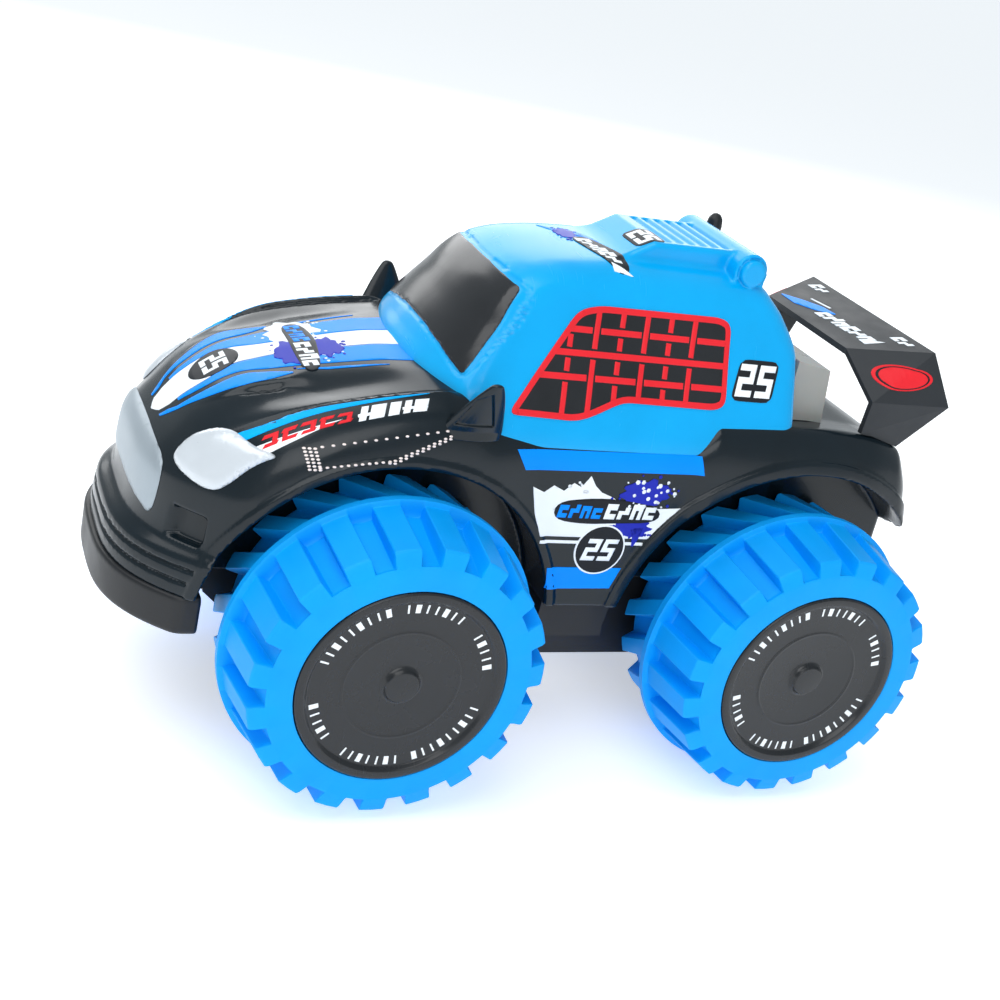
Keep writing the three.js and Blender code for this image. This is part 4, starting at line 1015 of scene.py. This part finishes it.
def decorate_doors():
    tree = body_tree
    blue = [
        [(-26.0, 119.2), (42.4, 120.3), (44.6, 113.9), (-21.7, 112.5)],
        [(-5.0, 77.2), (23.4, 77.4), (21.0, 69.4), (-3.4, 69.0)],
    ]
    side_films("door_stripes", blue, tree, FILM_BLUE)
    chance = random.Random(11)
    ground = CREST + [(arch_y(z), z) for z in (101, 97, 93, 88.9)] + [(-10.6, 88.9), (-14.4, 97)]
    line = strip([(-10.2, 86.9), (arch_y(86.9), 86.9)], 1.1)
    mist = blot((-3, 103), (5, 4), chance)[1:]
    side_films("door_ground", [ground, line] + mist, tree, FILM_WHITE)
    splash = blot((24, 106), (8.5, 4.4), chance) + blot((23, 93), (6.0, 3.2), chance)
    splash += [strip([(25, 93), (25.4, 89), (25, 86)], [5, 2.4, 0.8])]
    side_films("door_splash", splash, tree, FILM_ROYAL, lift=0.24)
    specks = []
    for _ in range(26):
        spot = (16 + 20 * chance.random(), 101 + 10 * chance.random())
        specks.append(ring(spot, 0.3 + 0.6 * chance.random(), 6))
    side_films("door_specks", specks, tree, FILM_WHITE, lift=0.3)
    back = strip([(-7.6, 98.4), (4, 98.6), (16, 99), (32, 98)], [6.4, 9.6, 9, 5.6])
    side_films("door_badge_ground", [rounded(back)], tree, FILM_DARK, lift=0.28)
    cool = mark_row((-6.4, 96.0), (4.2, 0), 4, (3.4, 4.6), 0.1, chance)
    side_films("door_badge_blue", cool, tree, FILM_BLUE, lift=0.34)
    pale = mark_row((11.0, 96.0), (4.9, 0.1), 4, (4.1, 5.2), 0.1, chance)
    side_films("door_badge_white", pale, tree, FILM_WHITE, lift=0.34)
    side_films("door_roundel_rim", [ring(DOOR_ROUNDEL, (9.4, 9.4))], tree, FILM_WHITE, lift=0.34)
    side_films("door_roundel", [ring(DOOR_ROUNDEL, (8.8, 8.8))], tree, FILM_DARK, lift=0.4)
    side_number("door_number", DOOR_ROUNDEL, 8.2, tree, 0.47)


# The window films. Side window points are (y, z).
WINDOW = [
    (-30.6, 129.4), (-8.2, 161.2), (-0.9, 163.1), (45.2, 163.4), (49.2, 161.4), (49.4, 137.0),
    (45.5, 135.0), (10.2, 135.3), (-1.3, 130.2), (-6.8, 128.7),
]
BAR_W = 1.9
ROW_Z = (155.6, 148.6, 141.5)
POST_Y = -10.6
POST_STEP = 9.03
POST_LEAN = 0.07
POSTS = 6


def window_bars():
    """Red bars woven over and under one another. The middle row passes over every post; on the other
    rows every second post passes over the row. A bar that goes under stops short on both sides."""
    gap = BAR_W / 2 + 0.65
    lines = []

    def post_at(i, z):
        return POST_Y + POST_STEP * i + POST_LEAN * (z - 150)

    def broken(low, high, crossings):
        ends = [low] + [e for c in crossings for e in (c - gap, c + gap)] + [high]
        return zip(ends[::2], ends[1::2])

    for k, z in enumerate(ROW_Z):
        crossings = [] if k == 1 else [post_at(i, z) for i in (1, 3, 5)]
        lines += [[(a, z), (b, z)] for a, b in broken(-40.0, 60.0, crossings)]
    for i in range(POSTS):
        crossings = (ROW_Z[1],) if i % 2 else ROW_Z[::-1]
        lines += [[(post_at(i, a), a), (post_at(i, b), b)] for a, b in broken(120.0, 170.0, crossings)]
    return lines


def clipped(line, outline):
    """The stretches of a line that lie inside an outline."""
    (y0, z0), (y1, z1) = line
    t = np.linspace(0, 1, 400)
    y, z = y0 + (y1 - y0) * t, z0 + (z1 - z0) * t
    inside = np.flatnonzero(outline_distance(outline, y, z) < -0.6)
    runs = np.split(inside, np.flatnonzero(np.diff(inside) > 1) + 1)
    return [[(y[run[0]], z[run[0]]), (y[run[-1]], z[run[-1]])] for run in runs if len(run) > 6]


def inset(outline, width):
    """The outline moved inwards by a width."""
    ahead = np.roll(outline, -1, axis=0) - np.roll(outline, 1, axis=0)
    ahead /= np.linalg.norm(ahead, axis=1)[:, None]
    inward = np.stack([-ahead[:, 1], ahead[:, 0]], 1)
    if outline_distance(outline, *(outline[0] + 0.1 * inward[0])) > 0:
        inward = -inward
    return outline + inward * width


def make_windows():
    tree = cabin_tree
    outline = filleted(WINDOW, 3.4)
    glass = dict(slot="window_black", replaces="side_window")
    side_films("window_film", [outline], tree, WINDOW_BLACK, **glass)
    outer, inner = (np.vstack([o, o[:1]]) for o in (outline, inset(outline, BAR_W)))
    half = len(outline) // 2
    halves = (slice(0, half + 1), slice(half, None))
    frame_sides = [np.vstack([outer[part], inner[part][::-1]]) for part in halves]
    bars = [strip(stretch, BAR_W) for line in window_bars() for stretch in clipped(line, outline)]
    side_films("window_frame", frame_sides, tree, FILM_RED, lift=0.34)
    side_films("window_bars", bars, tree, FILM_RED, lift=0.28)
    screen = [(x, -60.0, z) for x, z in inset(WINDSCREEN, 0.25)]
    glass = dict(slot="window_black", replaces=["windscreen"])
    patch("windscreen_pane", [screen], (0, 1, 0), tree, WINDOW_BLACK, lift=0.3, cell=0.9, **glass)


HEADLIGHT = [
    (29.2, -128.2, 100.9), (28.4, -126.6, 104.6), (29.1, -122.9, 109.1), (32.5, -118, 113),
    (36.7, -113.8, 114.4), (41.5, -111.4, 114.0), (45.2, -108.5, 112.9), (49.2, -101.6, 112.2),
    (48.2, -106.4, 109.7), (47.6, -110.9, 106.3), (46.8, -115.1, 101.2), (45.6, -118.3, 98.3),
    (42.6, -121.3, 97.5), (38.3, -124.5, 98.3), (33.4, -127.2, 99.4),
]
GRILLE = [
    (0, -137.6, 85.2), (13, -136.9, 84.3), (24.3, -135.3, 82.6), (29.2, -132.6, 80.9),
    (30.4, -131.5, 88.4), (30.2, -129.6, 96.6), (26.6, -130.3, 99.6), (20.4, -131.3, 101.2),
    (9.1, -132.3, 102.1), (0, -132.4, 102.3),
]


def make_lamps():
    tree = body_tree
    looks = dict(lift=0.15, cell=1.2, dome=1.7, reach=6, slot="headlight_silver", replaces="headlight")
    both_sides("headlight_dome", [rounded(HEADLIGHT)], (-0.62, 0.70, -0.35), tree, LAMP_SILVER, **looks)
    outline = GRILLE + [(-x, y, z) for x, y, z in GRILLE[-2:0:-1]]
    looks = dict(lift=0.15, cell=1.6, dome=0.9, reach=3.5, slot="grille_silver", replaces=["grille"])
    patch("grille_panel", [rounded(outline)], (0, 1, -0.15), tree, GRILLE_SILVER, **looks)


def decorate_cabin():
    tree = cabin_tree
    plate = rounded([(51.2, 138.4), (54.6, 151.4), (70.2, 151.4), (67.4, 138.4)], 2, 0.12)
    side_films("cabin_plate", [plate], tree, FILM_DARK)
    side_number("cabin_number", (60.8, 144.9), 10.2, tree, 0.24)
    chance = random.Random(3)
    streaks = [
        strip([(-16, -6.5), (-8, -1), (2, 3.5), (12, 6)], [0.4, 3.2, 3.6, 0.6]),
        strip([(-13, 0), (-6, 4), (3, 8)], [0.4, 3, 0.5]),
    ]
    top_film("roof_streaks", streaks, tree, FILM_BLUE, lift=0.16)
    top_film("roof_splash", blot((-6, 0), (5, 3), chance), tree, FILM_ROYAL, lift=0.2)
    ground = strip([(-2, 2), (8, 5.0), (18, 7.6), (25, 8.6)], [5.6, 8.2, 7.6, 5])
    top_film("roof_badge_ground", [rounded(ground)], tree, FILM_DARK, lift=0.26)
    marks = mark_row((-0.6, 0.6), (4.2, 1.0), 5, (3.3, 4.6), 0.3, chance)
    fin = [(20.4, 5.2), (25.6, 11.6), (24.4, 5.0)]
    top_film("roof_badge", marks + [fin], tree, FILM_WHITE, lift=0.32)
    plate = rounded([(1.0, 16.6), (2.4, 26.4), (15.6, 26.4), (14.4, 16.6)], 2, 0.12)
    top_film("roof_plate", [plate], tree, FILM_DARK, lift=0.16)
    outlines = number((8.3, 21.5, 200), (1, 0, 0), (0, 1, 0), 7.6, 0.12)
    patch("roof_number", outlines, DOWN, tree, FILM_WHITE, lift=0.24)


# (name, size, material, lift) of the oval on each end plate of the wing
OVALS = (("rim", 1.0, FILM_RED, 0.2), ("core", 0.88, FILM_DARK, 0.34), ("disc", 0.80, FILM_RED, 0.48))


def decorate_wing():
    tree = tree_of("spoiler")
    chance = random.Random(8)
    streak = strip([(-27, 108), (-18, 110), (-9, 113.5), (-2, 116)], [0.6, 5, 4.6, 0.6])
    top_film("wing_streak", [streak], tree, FILM_BLUE)
    marks = mark_row((-6, 109.5), (5.0, 0.4), 6, (4.1, 5.4), 0.3, chance)
    marks += [strip([(-19, 116), (-8, 117.6)], 0.8), [(21.5, 111), (27.0, 118.4), (25.8, 110.8)]]
    for side in (-1, 1):
        marks += mark_row((side * 28 - 4.6, 122.6), (4.6, 0), 2, (3.6, 4.2), 0.3, chance)
    top_film("wing_marks", marks, tree, FILM_WHITE)
    for label, side in SIDES:
        for part, grow, material, lift in OVALS:
            level = ring((0, 0), (10.6 * grow, 3.6 * grow), 36)
            oval = [(60 * side, 118.6 + y, 152.2 + 0.12 * y + z) for y, z in level]
            name = f"wing_oval_{part}_{label}"
            patch(name, [oval], (-side, 0, 0), tree, material, lift=lift, cell=1.5)


# ---- build
make_camera()
make_studio()

body_points, body_quads = skin(body_field, (-61.6, -150.4, 59), (61.6, 150.4, 141), 0.9)
looks = (BODY_BLACK, "chassis", "gloss_black", ["upper_body"])
add_piece("body_shell", body_points, body_quads, *looks)
body_tree = BVHTree.FromPolygons(body_points.tolist(), body_quads.tolist())
cabin_points, cabin_quads = skin(cabin_field, (-56, -64, 116), (56, 92, 188), 0.8)
looks = (CABIN_CYAN, "chassis", "cyan_shell", ["cabin_shell"])
add_piece("cabin_skin", cabin_points, cabin_quads, *looks)
cabin_tree = BVHTree.FromPolygons(cabin_points.tolist(), cabin_quads.tolist())
make_trim()
make_wheels()
decorate_hood()
decorate_fenders()
decorate_doors()
make_windows()
make_lamps()
decorate_cabin()
decorate_wing()

LOOKS = (
    (HULL_BLACK, "lower_hull hull_lid battery_door antenna"),
    (WINDOW_BLACK, "windscreen side_window_left side_window_right"),
    (LAMP_SILVER, "headlight_left headlight_right"),
    (GRILLE_SILVER, "grille"),
    (BODY_BLACK, "mirror_left mirror_right"),
    (SPOILER_BLACK, "spoiler"),
    (LENS_SMOKE, "rear_lens"),
    (CIRCUIT, "circuit_board"),
    (BATTERY, "battery_pack"),
    (ARCH_BLACK, "power_switch"),
)
NODE_LOOKS = {name: look for look, names in LOOKS for name in names.split()}
for name in ("spoiler", "lower_hull", "rear_lens", "antenna"):
    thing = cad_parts[name]
    thing.modifiers.new("join", "WELD").merge_threshold = 0.01 * MM
    soft_edges(thing, 0.9 if name == "rear_lens" else 0.45)
for name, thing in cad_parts.items():
    look = NODE_LOOKS.get(name)
    if look is None:
        look = NYLON if "gear" in name or "pinion" in name else STEEL
        if "bushing" in name or "plate" in name:
            look = ARCH_BLACK
    for material_slot in thing.material_slots:
        material_slot.link = "OBJECT"
        material_slot.material = look
